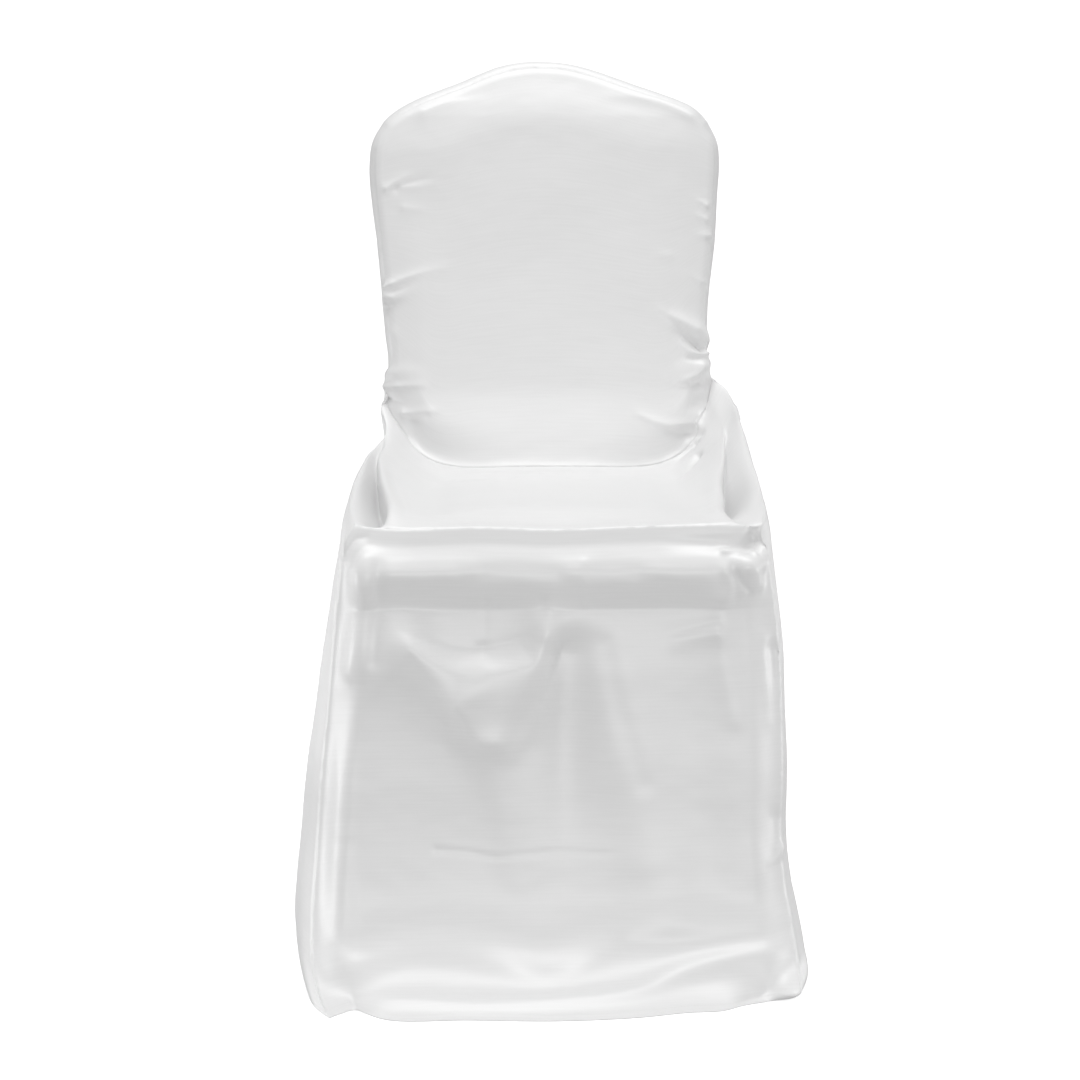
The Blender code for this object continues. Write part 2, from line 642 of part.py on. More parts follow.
def weld(skin):
    """One mesh of the whole skin, each face marked with its panel's number."""
    mesh = bmesh.new()
    panel_of = mesh.faces.layers.int.new("panel")
    for number, grids in enumerate(skin.values()):
        for grid in grids:
            points = [[mesh.verts.new(place) for place in row] for row in grid]
            for row in range(len(points) - 1):
                for column in range(len(points[0]) - 1):
                    face = mesh.faces.new((points[row][column], points[row + 1][column],
                                           points[row + 1][column + 1], points[row][column + 1]))
                    face[panel_of] = number
    bmesh.ops.remove_doubles(mesh, verts=mesh.verts, dist=1e-5)
    bmesh.ops.recalc_face_normals(mesh, faces=mesh.faces)
    mesh.normal_update()
    highest = max(mesh.verts, key=lambda vertex: vertex.co.z)
    if highest.normal.z < 0:
        bmesh.ops.reverse_faces(mesh, faces=mesh.faces)
        mesh.normal_update()
    return mesh, panel_of


def fold_skin(mesh):
    """Lifts the skin along its folds, and keeps it on the floor."""
    points = np.array([vertex.co for vertex in mesh.verts])
    normals = np.array([vertex.normal for vertex in mesh.verts])
    lift = sum(fold_lift(points, normals, fold) for fold in FOLDS)
    at_hem = points[:, 2] < 1e-4
    normals[at_hem, 2] = 0
    points = points + lift[:, None] * normals
    points[:, 2] = np.where(at_hem, 0, np.maximum(points[:, 2], 0.001))
    for vertex, place in zip(mesh.verts, points):
        vertex.co = place
    mesh.normal_update()


def panels_at(vertex, panel_of):
    """How many panels meet at a point of the skin."""
    return len({face[panel_of] for face in vertex.link_faces})


def inner_side(mesh, panel_of):
    """Outer and inner points of the cloth for every point of the skin, resting on the floor."""
    sides = {}
    for vertex in mesh.verts:
        outer = vertex.co.copy()
        mitre = SHARPEST_MITRE if panels_at(vertex, panel_of) < 3 else CORNER_THINNING
        depth = CLOTH * min(vertex.calc_shell_factor(), mitre)
        on_floor = outer.z < 1e-4
        normal = vertex.normal.copy()
        if on_floor:
            outer.z = CLOTH * max(normal.z, 0)
        inner = outer - normal * depth
        inner.z = 0 if on_floor else max(inner.z, 0)
        outer.z = max(outer.z, inner.z)
        sides[vertex] = (outer, inner)
    return sides


def seam_pull(vertex, faces, boundary, panels):
    """The small step away from its seam that a panel's edge takes, more where several meet."""
    middle = sum((face.calc_center_median() for face in faces), vertex.co * 0) / len(faces)
    towards = middle - vertex.co
    ends = [edge.other_vert(vertex).co for edge in boundary]
    along = (ends[0] - ends[1]).normalized()
    towards -= along * towards.dot(along)
    return towards.normalized() * SEAM_GAP / 2 * (panels - 1)


def cut_panel(name, mesh, panel_of, number, sides):
    """One panel of the skin as a closed sheet of cloth."""
    faces = [face for face in mesh.faces if face[panel_of] == number]
    chosen = set(faces)
    uses = {}
    for face in faces:
        for edge in face.edges:
            uses[edge] = uses.get(edge, 0) + 1
    rim = [edge for edge, count in uses.items() if count == 1]
    cloth = bmesh.new()
    made = {}
    for face in faces:
        for vertex in face.verts:
            if vertex in made:
                continue
            outer, inner = sides[vertex]
            boundary = [edge for edge in vertex.link_edges if uses.get(edge) == 1]
            step = vertex.co * 0
            if boundary and any(len(edge.link_faces) > 1 for edge in boundary):
                own = [linked for linked in vertex.link_faces if linked in chosen]
                step = seam_pull(vertex, own, boundary, panels_at(vertex, panel_of))
            made[vertex] = (cloth.verts.new(to_mount(outer + step)),
                            cloth.verts.new(to_mount(inner + step)))
    for face in faces:
        cloth.faces.new([made[vertex][0] for vertex in face.verts])
        cloth.faces.new([made[vertex][1] for vertex in reversed(face.verts)])
    for edge in rim:
        face = next(linked for linked in edge.link_faces if linked in chosen)
        loop = next(loop for loop in face.loops if loop.edge == edge)
        first, second = loop.vert, loop.link_loop_next.vert
        cloth.faces.new((made[second][0], made[first][0], made[first][1], made[second][1]))
    return finish_object(name, cloth)


def to_mount(place):
    """A place in the row's axes, whose origin is under the crown."""
    moved = place.copy()
    moved.y -= MOUNT.back
    moved.z -= MOUNT.up
    return moved


def finish_object(name, cloth):
    """The named object of a panel, smooth shaded, with its satin."""
    mesh = bpy.data.meshes.new(name)
    cloth.to_mesh(mesh)
    cloth.free()
    mesh.shade_smooth()
    mesh.set_sharp_from_angle(angle=np.radians(50))
    mesh.materials.append(satin(name))
    panel = bpy.data.objects.new(name, mesh)
    bpy.context.scene.collection.objects.link(panel)
    return panel


def satin(name):
    """The white satin of a panel."""
    material = bpy.data.materials.new(name + "_satin")
    material.use_nodes = True
    shader = material.node_tree.nodes["Principled BSDF"]
    shader.inputs["Base Color"].default_value = PANEL_COLOURS[name]
    shader.inputs["Roughness"].default_value = SATIN_ROUGHNESS
    shader.inputs["Metallic"].default_value = 0
    shader.inputs["Sheen Weight"].default_value = SATIN_SHEEN
    return material


# Underside of the crown, midway through the backrest's thickness
MOUNT = Spot(0, backrest_plane(TOTAL_HEIGHT) + BACK_THICKNESS / 2, TOTAL_HEIGHT - CLOTH)


def main():
    """Clears the scene, then sews, folds and cuts the cover."""
    for old in list(bpy.data.objects):
        bpy.data.objects.remove(old)
    skin = sewn_skin()
    mesh, panel_of = weld(skin)
    fold_skin(mesh)
    sides = inner_side(mesh, panel_of)
    for number, name in enumerate(skin):
        cut_panel(name, mesh, panel_of, number, sides)
    mesh.free()


main()
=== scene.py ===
"""White satin cover for a banquet chair, dressed over its six solid panels."""

import logging
from dataclasses import dataclass, field
from enum import Enum
from typing import Callable, NamedTuple, Sequence

import bmesh
import bpy
import numpy as np
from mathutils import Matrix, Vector, noise
from mathutils.bvhtree import BVHTree


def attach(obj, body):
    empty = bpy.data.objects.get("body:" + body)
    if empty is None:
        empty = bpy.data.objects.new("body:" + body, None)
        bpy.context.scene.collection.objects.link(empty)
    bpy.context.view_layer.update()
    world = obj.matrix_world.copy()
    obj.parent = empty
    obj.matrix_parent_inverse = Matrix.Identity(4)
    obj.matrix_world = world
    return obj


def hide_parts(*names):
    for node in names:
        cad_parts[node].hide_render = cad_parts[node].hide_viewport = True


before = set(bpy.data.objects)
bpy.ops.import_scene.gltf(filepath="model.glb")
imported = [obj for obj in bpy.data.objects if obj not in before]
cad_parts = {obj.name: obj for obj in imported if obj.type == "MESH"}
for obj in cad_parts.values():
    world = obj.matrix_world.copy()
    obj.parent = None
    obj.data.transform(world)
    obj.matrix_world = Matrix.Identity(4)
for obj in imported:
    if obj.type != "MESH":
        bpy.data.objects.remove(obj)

LOG = logging.getLogger("chair_cover")
Points = np.ndarray
Shares = np.ndarray

# Where the row's origin stands in the chair's own axes: X right, Y back from the seat's front, Z up
ORIGIN = np.array((0.0, 0.49425, 0.9485))

SEAT_HEIGHT = 0.475
SEAT_DEPTH = 0.385
TOTAL_HEIGHT = 0.950
BACK_THICKNESS = 0.038
BACK_RAKE = 0.19
TOP_LEAN = 0.010
TOP_LEAN_FROM = 0.886
BACK_FOOT = 0.026
BACK_FOOT_HEIGHT = 0.110
EDGE_ROUND = 0.016
SEAM_INSET = 0.0065
BACK_INSET = 0.010
HEM_BACK = 0.545
SHOULDER_UP = 0.881


class PanelName(Enum):
    """The six panels, by the name of the solid that each one stands for."""

    INSIDE_BACK = "inside_back"
    SEAT = "seat"
    FRONT = "front_skirt"
    LEFT = "side_left"
    RIGHT = "side_right"
    BACK = "outside_back"


class Spot(NamedTuple):
    """A place: across, back and up."""

    x: float
    y: float
    z: float


class Level(NamedTuple):
    """The left and right places of a line at one height, and its depth."""

    up: float
    left: float
    right: float
    back: float = 0.0


class Web(NamedTuple):
    """A cross-section of the slack cloth beside the seat, at one depth."""

    back: float
    valley: float
    valley_up: float
    crest: float
    crest_up: float
    slope: float
    slope_up: float
    foot: float
    foot_up: float


def spots(*rows: tuple[float, float, float]) -> list[Spot]:
    """Rows of three numbers as places."""
    return [Spot(*row) for row in rows]


CROWN = spots(
    (-0.1850, 0, 0.8825), (-0.1720, 0, 0.8928), (-0.1540, 0, 0.9030), (-0.1360, 0, 0.9112),
    (-0.1150, 0, 0.9194), (-0.0945, 0, 0.9272), (-0.0740, 0, 0.9354), (-0.0530, 0, 0.9428),
    (-0.0290, 0, 0.9480), (0.0000, 0, 0.9500), (0.0290, 0, 0.9476), (0.0530, 0, 0.9418),
    (0.0740, 0, 0.9350), (0.0945, 0, 0.9278), (0.1150, 0, 0.9206), (0.1360, 0, 0.9134),
    (0.1550, 0, 0.9064), (0.1720, 0, 0.8980), (0.1860, 0, 0.8850),
)
BACKREST = [
    Level(0.872, -0.1932, 0.1950),
    Level(0.860, -0.1990, 0.2000),
    Level(0.845, -0.2022, 0.2024),
    Level(0.828, -0.2032, 0.2032),
    Level(0.799, -0.2015, 0.2015),
    Level(0.770, -0.1980, 0.2002),
    Level(0.740, -0.1945, 0.1985),
    Level(0.710, -0.1917, 0.1948),
    Level(0.680, -0.1890, 0.1912),
    Level(0.650, -0.1870, 0.1905),
    Level(0.620, -0.1835, 0.1902),
]
REAR_SEAM = [
    Level(0.535, -0.181, 0.194, 0.424),
    Level(0.500, -0.183, 0.196, 0.428),
    Level(0.420, -0.200, 0.201, 0.434),
    Level(0.300, -0.222, 0.212, 0.444),
    Level(0.150, -0.242, 0.228, 0.458),
    Level(0.040, -0.254, 0.241, 0.468),
    Level(0.000, -0.258, 0.246, 0.472),
]
BACK_EDGE = [
    Level(0.565, -0.175, 0.180),
    Level(0.450, -0.184, 0.187),
    Level(0.300, -0.197, 0.199),
    Level(0.150, -0.208, 0.209),
    Level(0.000, -0.215, 0.216),
]
BULGES = ((TOTAL_HEIGHT, 0.00825), (0.640, 0.00825), (0.560, 0.003), (0.500, 0.003),
          (0.400, 0.009), (0.000, 0.020))
LEFT_PEAK = Spot(-0.186, 0.420, 0.566)
RIGHT_PEAK = Spot(0.192, 0.420, 0.588)
LEFT_RIM = [LEFT_PEAK] + spots(
    (-0.190, 0.410, 0.554), (-0.181, 0.394, 0.532), (-0.192, 0.362, 0.517),
    (-0.201, 0.310, 0.511), (-0.207, 0.220, 0.504), (-0.210, 0.130, 0.494),
    (-0.209, 0.060, 0.484), (-0.204, 0.008, 0.472),
)
RIGHT_RIM = [RIGHT_PEAK] + spots(
    (0.205, 0.408, 0.579), (0.214, 0.380, 0.564), (0.217, 0.320, 0.545),
    (0.218, 0.260, 0.525), (0.218, 0.180, 0.505), (0.216, 0.100, 0.488),
    (0.213, 0.045, 0.479), (0.207, 0.008, 0.471),
)
LEFT_WEB = [
    Web(0.360, -0.1850, 0.5190, -0.1780, 0.5190, -0.1590, 0.5030, -0.1310, 0.4800),
    Web(0.300, -0.1910, 0.5020, -0.1870, 0.5130, -0.1690, 0.5010, -0.1330, 0.4810),
    Web(0.220, -0.1880, 0.4800, -0.1850, 0.5080, -0.1690, 0.4970, -0.1330, 0.4820),
    Web(0.150, -0.1840, 0.4620, -0.1810, 0.4980, -0.1620, 0.4900, -0.1290, 0.4810),
    Web(0.080, -0.1770, 0.4540, -0.1740, 0.4890, -0.1540, 0.4840, -0.1260, 0.4790),
    Web(0.030, -0.1740, 0.4520, -0.1700, 0.4820, -0.1500, 0.4790, -0.1250, 0.4760),
]
RIGHT_WEB = [
    Web(0.360, 0.2040, 0.5420, 0.1960, 0.5340, 0.1750, 0.5080, 0.1490, 0.4850),
    Web(0.300, 0.1980, 0.5180, 0.1940, 0.5230, 0.1710, 0.5010, 0.1440, 0.4830),
    Web(0.220, 0.1900, 0.4900, 0.1870, 0.5090, 0.1640, 0.4950, 0.1380, 0.4820),
    Web(0.150, 0.1820, 0.4520, 0.1790, 0.4970, 0.1560, 0.4880, 0.1320, 0.4810),
    Web(0.080, 0.1800, 0.4640, 0.1740, 0.4850, 0.1510, 0.4810, 0.1280, 0.4790),
    Web(0.030, 0.1830, 0.4700, 0.1690, 0.4800, 0.1480, 0.4770, 0.1250, 0.4760),
]
BACK_SEAT_SEAM = [LEFT_PEAK] + spots(
    (-0.178, 0.409, 0.550), (-0.167, 0.401, 0.535), (-0.155, 0.396, 0.518),
    (-0.147, 0.392, 0.501), (-0.139, 0.386, 0.487), (-0.127, 0.376, 0.480),
    (-0.090, 0.360, 0.481), (0.000, 0.355, 0.483), (0.110, 0.360, 0.481),
    (0.146, 0.376, 0.480), (0.160, 0.386, 0.487), (0.168, 0.392, 0.500),
    (0.173, 0.396, 0.516), (0.178, 0.401, 0.534), (0.1845, 0.4065, 0.555),
) + [RIGHT_PEAK]
# Where that seam runs along the cushion's rear
SEAT_REAR = BACK_SEAT_SEAM[6:13]
SEAT_FRONT = [LEFT_RIM[-1]] + spots(
    (-0.165, 0.001, 0.469), (-0.090, -0.001, 0.471), (0.000, -0.002, 0.469),
    (0.090, -0.001, 0.472), (0.165, 0.000, 0.473),
) + [RIGHT_RIM[-1]]
LEFT_CORNER = [
    Spot(-0.212, 0.004, 0.458), Spot(-0.217, 0.006, 0.430), Spot(-0.222, 0.008, 0.390),
    Spot(-0.228, 0.012, 0.330), Spot(-0.238, 0.013, 0.230), Spot(-0.246, 0.008, 0.130),
    Spot(-0.249, -0.010, 0.070), Spot(-0.247, -0.036, 0.030), Spot(-0.237, -0.078, 0.008),
]
RIGHT_CORNER = [
    Spot(0.210, 0.002, 0.458), Spot(0.214, 0.000, 0.430), Spot(0.219, 0.000, 0.390),
    Spot(0.226, 0.002, 0.330), Spot(0.229, 0.000, 0.230), Spot(0.229, -0.006, 0.130),
    Spot(0.236, -0.018, 0.070), Spot(0.242, -0.038, 0.030), Spot(0.238, -0.078, 0.008),
]
SKIRT_PROFILE = spots(
    (0, -0.001, 0.470), (0, -0.003, 0.462), (0, -0.005, 0.453), (0, -0.010, 0.445),
    (0, -0.016, 0.436), (0, -0.019, 0.427), (0, -0.018, 0.419), (0, -0.014, 0.407),
    (0, -0.009, 0.394), (0, -0.0075, 0.389), (0, -0.008, 0.381), (0, -0.009, 0.350),
    (0, -0.012, 0.250), (0, -0.018, 0.140), (0, -0.026, 0.082), (0, -0.040, 0.048),
    (0, -0.066, 0.024), (0, -0.094, 0.010), (0, -0.120, 0.002),
)
HEM_SIDE_LEFT = spots(
    (-0.258, 0.472, 0), (-0.264, 0.360, 0), (-0.266, 0.220, 0), (-0.262, 0.080, 0),
    (-0.253, -0.030, 0), (-0.241, -0.084, 0), (-0.227, -0.112, 0),
)
HEM_FRONT = spots(
    (-0.227, -0.112, 0), (-0.216, -0.098, 0), (-0.203, -0.087, 0), (-0.192, -0.098, 0),
    (-0.176, -0.115, 0), (-0.089, -0.122, 0), (0.000, -0.127, 0), (0.078, -0.118, 0),
    (0.128, -0.104, 0), (0.162, -0.099, 0), (0.182, -0.084, 0), (0.228, -0.064, 0),
)
HEM_SIDE_RIGHT = spots(
    (0.246, 0.472, 0), (0.248, 0.360, 0), (0.247, 0.220, 0), (0.246, 0.080, 0),
    (0.243, -0.014, 0), (0.228, -0.064, 0),
)


class Line:
    """Smooth lines through places, and sheets between lines."""

    @staticmethod
    def smooth(values: Points, knots: Shares, wanted: Shares) -> Points:
        """Values between knots on a smooth line.

        Args:
            values: One value or point for each knot.
            knots: Where the values stand, rising.
            wanted: Where new values are asked for.

        Returns:
            The values there.
        """
        slopes = np.gradient(values, knots, axis=0)
        span = np.clip(np.searchsorted(knots, wanted, side="right") - 1, 0, len(knots) - 2)
        shape = (-1,) + (1,) * (values.ndim - 1)
        width = (knots[span + 1] - knots[span]).reshape(shape)
        t = (wanted - knots[span]).reshape(shape) / width
        return ((1 + 2 * t) * (1 - t) ** 2 * values[span]
                + t * (1 - t) ** 2 * width * slopes[span]
                + t ** 2 * (3 - 2 * t) * values[span + 1]
                + t ** 2 * (t - 1) * width * slopes[span + 1])

    @staticmethod
    def resample(points: Points, shares: Shares) -> Points:
        """Points at shares of the length of a line of close points."""
        steps = np.linalg.norm(np.diff(points, axis=0), axis=1)
        along = np.concatenate([[0], np.cumsum(steps)])
        wanted = np.asarray(shares) * along[-1]
        return np.stack([np.interp(wanted, along, points[:, k]) for k in range(3)], axis=1)

    @classmethod
    def curve(cls, places: Sequence, shares: Shares) -> Points:
        """Points at shares of the length of a smooth curve through places."""
        points = np.array(places, float)
        chords = np.linalg.norm(np.diff(points, axis=0), axis=1)
        knots = np.concatenate([[0], np.cumsum(chords)])
        fine = cls.smooth(points, knots, np.linspace(0, knots[-1], 60 * len(chords) + 1))
        return cls.resample(fine, shares)

    @staticmethod
    def mix(a: Points, b: Points, share: Points) -> Points:
        """The mix of two values or points."""
        return a + (b - a) * share

    @staticmethod
    def fade(shares: Shares, reach: float) -> Shares:
        """From 1 at nought to 0 past the reach."""
        t = np.clip(np.asarray(shares) / reach, 0, 1)
        return (1 - t) ** 2 * (1 + 2 * t)

    @staticmethod
    def nearest(points: Points, line: Points) -> tuple[Points, Points, Points, Points]:
        """Distance of points from a line, the share along it, the way to it and its direction."""
        best = np.full(len(points), np.inf)
        share = np.zeros(len(points))
        away, along = np.zeros_like(points), np.zeros_like(points)
        for index in range(len(line) - 1):
            start, step = line[index], line[index + 1] - line[index]
            t = np.clip(((points - start) @ step) / (step @ step), 0, 1)
            here = points - start - t[:, None] * step
            distance = np.linalg.norm(here, axis=1)
            nearer = distance < best
            best[nearer] = distance[nearer]
            share[nearer] = (index + t[nearer]) / (len(line) - 1)
            away[nearer] = here[nearer]
            along[nearer] = step
        return best, share, away, along

    @classmethod
    def between(cls, top: Points, bottom: Points, left: Points, right: Points,
                down: Shares, across: Shares) -> Points:
        """The plain sheet between four lines."""
        v = np.asarray(down)[:, None, None]
        u = np.asarray(across)[None, :, None]
        corners = ((1 - u) * (1 - v) * top[0] + u * (1 - v) * top[-1]
                   + (1 - u) * v * bottom[0] + u * v * bottom[-1])
        return cls.mix(top[None], bottom[None], v) + cls.mix(left[:, None], right[:, None], u) - corners

    @classmethod
    def held(cls, base: Points, top: Points, bottom: Points, left: Points, right: Points,
             down: Shares, across: Shares, reach: float, side_reach: float | None = None) -> Points:
        """A sheet pulled onto its four seams, each of which fades out over its reach."""
        rows = [cls.fade(s, reach)[:, None, None] for s in (down, 1 - down)]
        columns = [cls.fade(s, side_reach or reach)[None, :, None] for s in (across, 1 - across)]
        pull = rows[0] * (top - base[0])[None] + rows[1] * (bottom - base[-1])[None]
        pull = pull + columns[0] * (left - base[:, 0])[:, None]
        pull = pull + columns[1] * (right - base[:, -1])[:, None]
        for row, end in ((rows[0], 0), (rows[1], -1)):
            for column, side, seam in ((columns[0], 0, left), (columns[1], -1, right)):
                pull = pull - row * column * (seam[end] - base[end, side])
        return base + pull


def eased(count: int, bunch: float = 0.25) -> Shares:
    """Shares from 0 to 1 that are closer near both ends."""
    u = np.linspace(0, 1, count)
    return u - bunch * np.sin(2 * np.pi * u) / (2 * np.pi)


@dataclass
class Pattern:
    """The cover as sewn: each panel as grids of points that share their seams.

    Attributes:
        across: Shares of the width of the front, seat and backs.
        back_down: Shares of the backrest's height.
        forward: Shares of the seat's depth.
        skirt_down: Shares of the skirt's height.
        turn: Shares across the strip that turns round the backrest's edge.
        upper_share: How much of the outside back's height is beside the backrest's seams.
    """

    across: Shares = field(default_factory=lambda: eased(201))
    back_down: Shares = field(default_factory=lambda: eased(193))
    forward: Shares = field(default_factory=lambda: eased(121))
    skirt_down: Shares = field(default_factory=lambda: eased(193))
    turn: Shares = field(default_factory=lambda: np.linspace(0, 1, 12))
    upper_share: float = 0.38

    @staticmethod
    def backrest_plane(up: Points) -> Points:
        """Depth of the backrest's plane at a height."""
        return SEAT_DEPTH + BACK_RAKE * (up - SEAT_HEIGHT)

    @classmethod
    def backrest_front(cls, up: Points) -> Points:
        """Depth of the backrest's front face at a height: it leans back more at the top."""
        top = np.clip((up - TOP_LEAN_FROM) / (TOTAL_HEIGHT - TOP_LEAN_FROM), 0, 1)
        return cls.backrest_plane(up) + TOP_LEAN * top ** 1.3

    @classmethod
    def backrest_back(cls, up: Points) -> Points:
        """Depth of the outside back, which hangs from the crown to the hem."""
        crown = cls.backrest_plane(TOTAL_HEIGHT) + BACK_THICKNESS
        return Line.mix(HEM_BACK, crown, up / TOTAL_HEIGHT)

    @classmethod
    def edge_depth(cls, up: Points, inset: Points) -> Points:
        """Depth of the cloth on the backrest's round front edge, this far inside its outline."""
        beyond = np.clip((EDGE_ROUND - inset) / EDGE_ROUND, 0, 1)
        return cls.backrest_front(up) + BACK_THICKNESS / 2 * (1 - np.sqrt(1 - beyond ** 2))

    @staticmethod
    def backrest_line(inset: float, depth_of: Callable[[Points], Points]) -> tuple[Points, Points, Points]:
        """The backrest's outline moved in: its left side, its crown and its right side."""
        left = [Spot(row.left, 0, row.up) for row in BACKREST]
        right = [Spot(row.right, 0, row.up) for row in BACKREST]
        line = Line.curve(left[::-1] + CROWN + right, np.linspace(0, 1, 801))
        on_crown = np.flatnonzero(line[:, 2] > SHOULDER_UP)
        along = np.gradient(line, axis=0)
        inward = np.stack([along[:, 2], np.zeros(len(line)), -along[:, 0]], axis=1)
        line = line + inset * inward / np.linalg.norm(inward, axis=1)[:, None]
        line[:, 1] = depth_of(line[:, 2])
        first, last = on_crown[0], on_crown[-1]
        return line[first::-1], line[first:last + 1], line[last:]

    def inside_back(self, crown: Points, left: Points, right: Points, bottom: Points) -> Points:
        """The front of the backrest: a soft pad with its edges turned back."""
        base = Line.between(crown, bottom, left, right, self.back_down, self.across)
        flat = base.reshape(-1, 3)
        outline = Line.resample(np.concatenate([left[::-1], crown[1:-1], right]), np.linspace(0, 1, 260))
        from_seam = Line.nearest(flat[:, ::2], outline[:, ::2])[0]
        width = np.clip(np.abs(flat[:, 0]) / 0.2, 0, 1)
        flat[:, 1] = self.edge_depth(flat[:, 2], SEAM_INSET + from_seam) - 0.009 * (1 - width ** 4)
        flat[:, 1] -= BACK_FOOT * Line.fade(flat[:, 2] - SEAT_HEIGHT, BACK_FOOT_HEIGHT) * (1 - width ** 4)
        return Line.held(flat.reshape(base.shape), crown, bottom, left, right,
                         self.back_down, self.across, 0.16)

    def web(self, rim: Points, rows: list[Web], rear: Points, front: Points, at: Shares) -> list[Points]:
        """Lines of the slack cloth from its rim inwards: rim, roll, valley, crest, slope and foot."""
        spots_of = lambda seam: Line.resample(seam, at)
        seam, edge = spots_of(rear), spots_of(front)
        lines = []
        for index, name in enumerate(("valley", "crest", "slope", "foot")):
            places = [(getattr(row, name), row.back, getattr(row, name + "_up")) for row in rows]
            lines.append(Line.curve([seam[index + 2], *places, edge[index + 2]], self.forward))
        roll = Line.mix(rim, lines[0], 0.25)
        roll[:, 2] += 0.005 * np.sin(np.pi * self.forward)
        roll[0], roll[-1] = seam[1], edge[1]
        return [rim, roll, *lines]

    def seat(self, rear: Points, front: Points, left: Points, right: Points) -> Points:
        """The seat: a cushion's top between two webs that climb to their peaks."""
        at = np.array((0, 0.015, 0.04, 0.08, 0.13, 0.19))
        middle_at = np.array((0.26, 0.34, 0.42, 0.5, 0.58, 0.66, 0.74))
        left_web = self.web(left, LEFT_WEB, rear, front, at)
        right_web = self.web(right, RIGHT_WEB, rear[::-1], front[::-1], at)
        fades = Line.fade(self.forward, 0.16), Line.fade(1 - self.forward, 0.16)
        rear_spots, front_spots = Line.resample(rear, middle_at), Line.resample(front, middle_at)
        inner = []
        for index in range(len(middle_at)):
            share = (index + 1) / (len(middle_at) + 1)
            line = Line.mix(left_web[-1], right_web[-1], share)
            crown = 0.006 * (1 - (2 * share - 1) ** 2) * (1 - sum(fades))
            line[:, 2] = Line.mix(line[:, 2] + crown, SEAT_HEIGHT, sum(fades))
            line += fades[0][:, None] * (rear_spots[index] - line[0])
            line += fades[1][:, None] * (front_spots[index] - line[-1])
            inner.append(line)
        coarse = np.stack([*left_web, *inner, *right_web[::-1]])
        knots = np.concatenate([at, middle_at, 1 - at[::-1]])
        grid = Line.smooth(coarse, knots, self.across).transpose(1, 0, 2)
        return Line.held(grid, rear, front, left, right, self.forward, self.across, 0.06)

    def front(self, top: Points, hem: Points, left: Points, right: Points) -> Points:
        """The front skirt: over the cushion, down between the legs and out on the floor."""
        profile = Line.curve(SKIRT_PROFILE, self.skirt_down)
        base = np.zeros((len(self.skirt_down), len(self.across), 3))
        base[:, :, 0] = Line.mix(left[:, :1], right[:, :1], self.across[None])
        base[:, :, 1:] = profile[:, None, 1:]
        return Line.held(base, top, hem, left, right, self.skirt_down, self.across, 0.16, 0.075)

    def turned(self, seam: Points, edge: Points) -> Points:
        """The strip of the back that turns round an edge, from its seam to the flat back."""
        ups, outs = zip(*BULGES[::-1])
        bulge = np.interp(seam[:, 2], ups, outs)
        chord = edge - seam
        outward = np.cross(np.gradient(seam, axis=0), chord)
        outward *= (bulge * 4 / 3 / np.linalg.norm(outward, axis=1))[:, None]
        near_seam, near_edge = seam + 0.25 * chord + outward, edge - 0.12 * chord + outward
        t = self.turn[:, None, None]
        strip = ((1 - t) ** 3 * seam + 3 * t * (1 - t) ** 2 * near_seam
                 + 3 * t ** 2 * (1 - t) * near_edge + t ** 3 * edge)
        strip[:, (0, -1), 2] = 0
        return strip

    def outside_back(self, crown_seam: Points, sides: list[tuple[Points, Points]]) -> list[Points]:
        """The strip round every edge of the back, and the flat cloth, half as fine, that hangs in it."""
        down = np.concatenate([self.back_down * self.upper_share,
                               Line.mix(self.upper_share, 1, self.skirt_down[1:])])
        left, crown, right = self.backrest_line(BACK_INSET, self.backrest_back)
        edges = []
        for name, line in (("left", left), ("right", right)):
            rows = [(getattr(row, name), self.backrest_back(row.up), row.up) for row in BACK_EDGE]
            edges.append(Line.curve([*line[::24], *rows], down))
        crown = Line.resample(crown, self.across)
        (left_upper, left_lower), (right_upper, right_lower) = sides
        seam = np.concatenate([left_lower[:0:-1], left_upper[:0:-1], crown_seam,
                               right_upper[1:], right_lower[1:]])
        edge = np.concatenate([edges[0][:0:-1], crown, edges[1][1:]])
        hem = Line.curve([edges[0][-1], (0, HEM_BACK + 0.010, 0), edges[1][-1]], self.across)
        flat = Line.between(crown, hem, edges[0], edges[1], down, self.across)
        flat[1:-1, :, 1] += 0.006 * np.sin(np.pi * self.across) ** 0.5
        return [self.turned(seam, edge), flat[::2, ::2]]

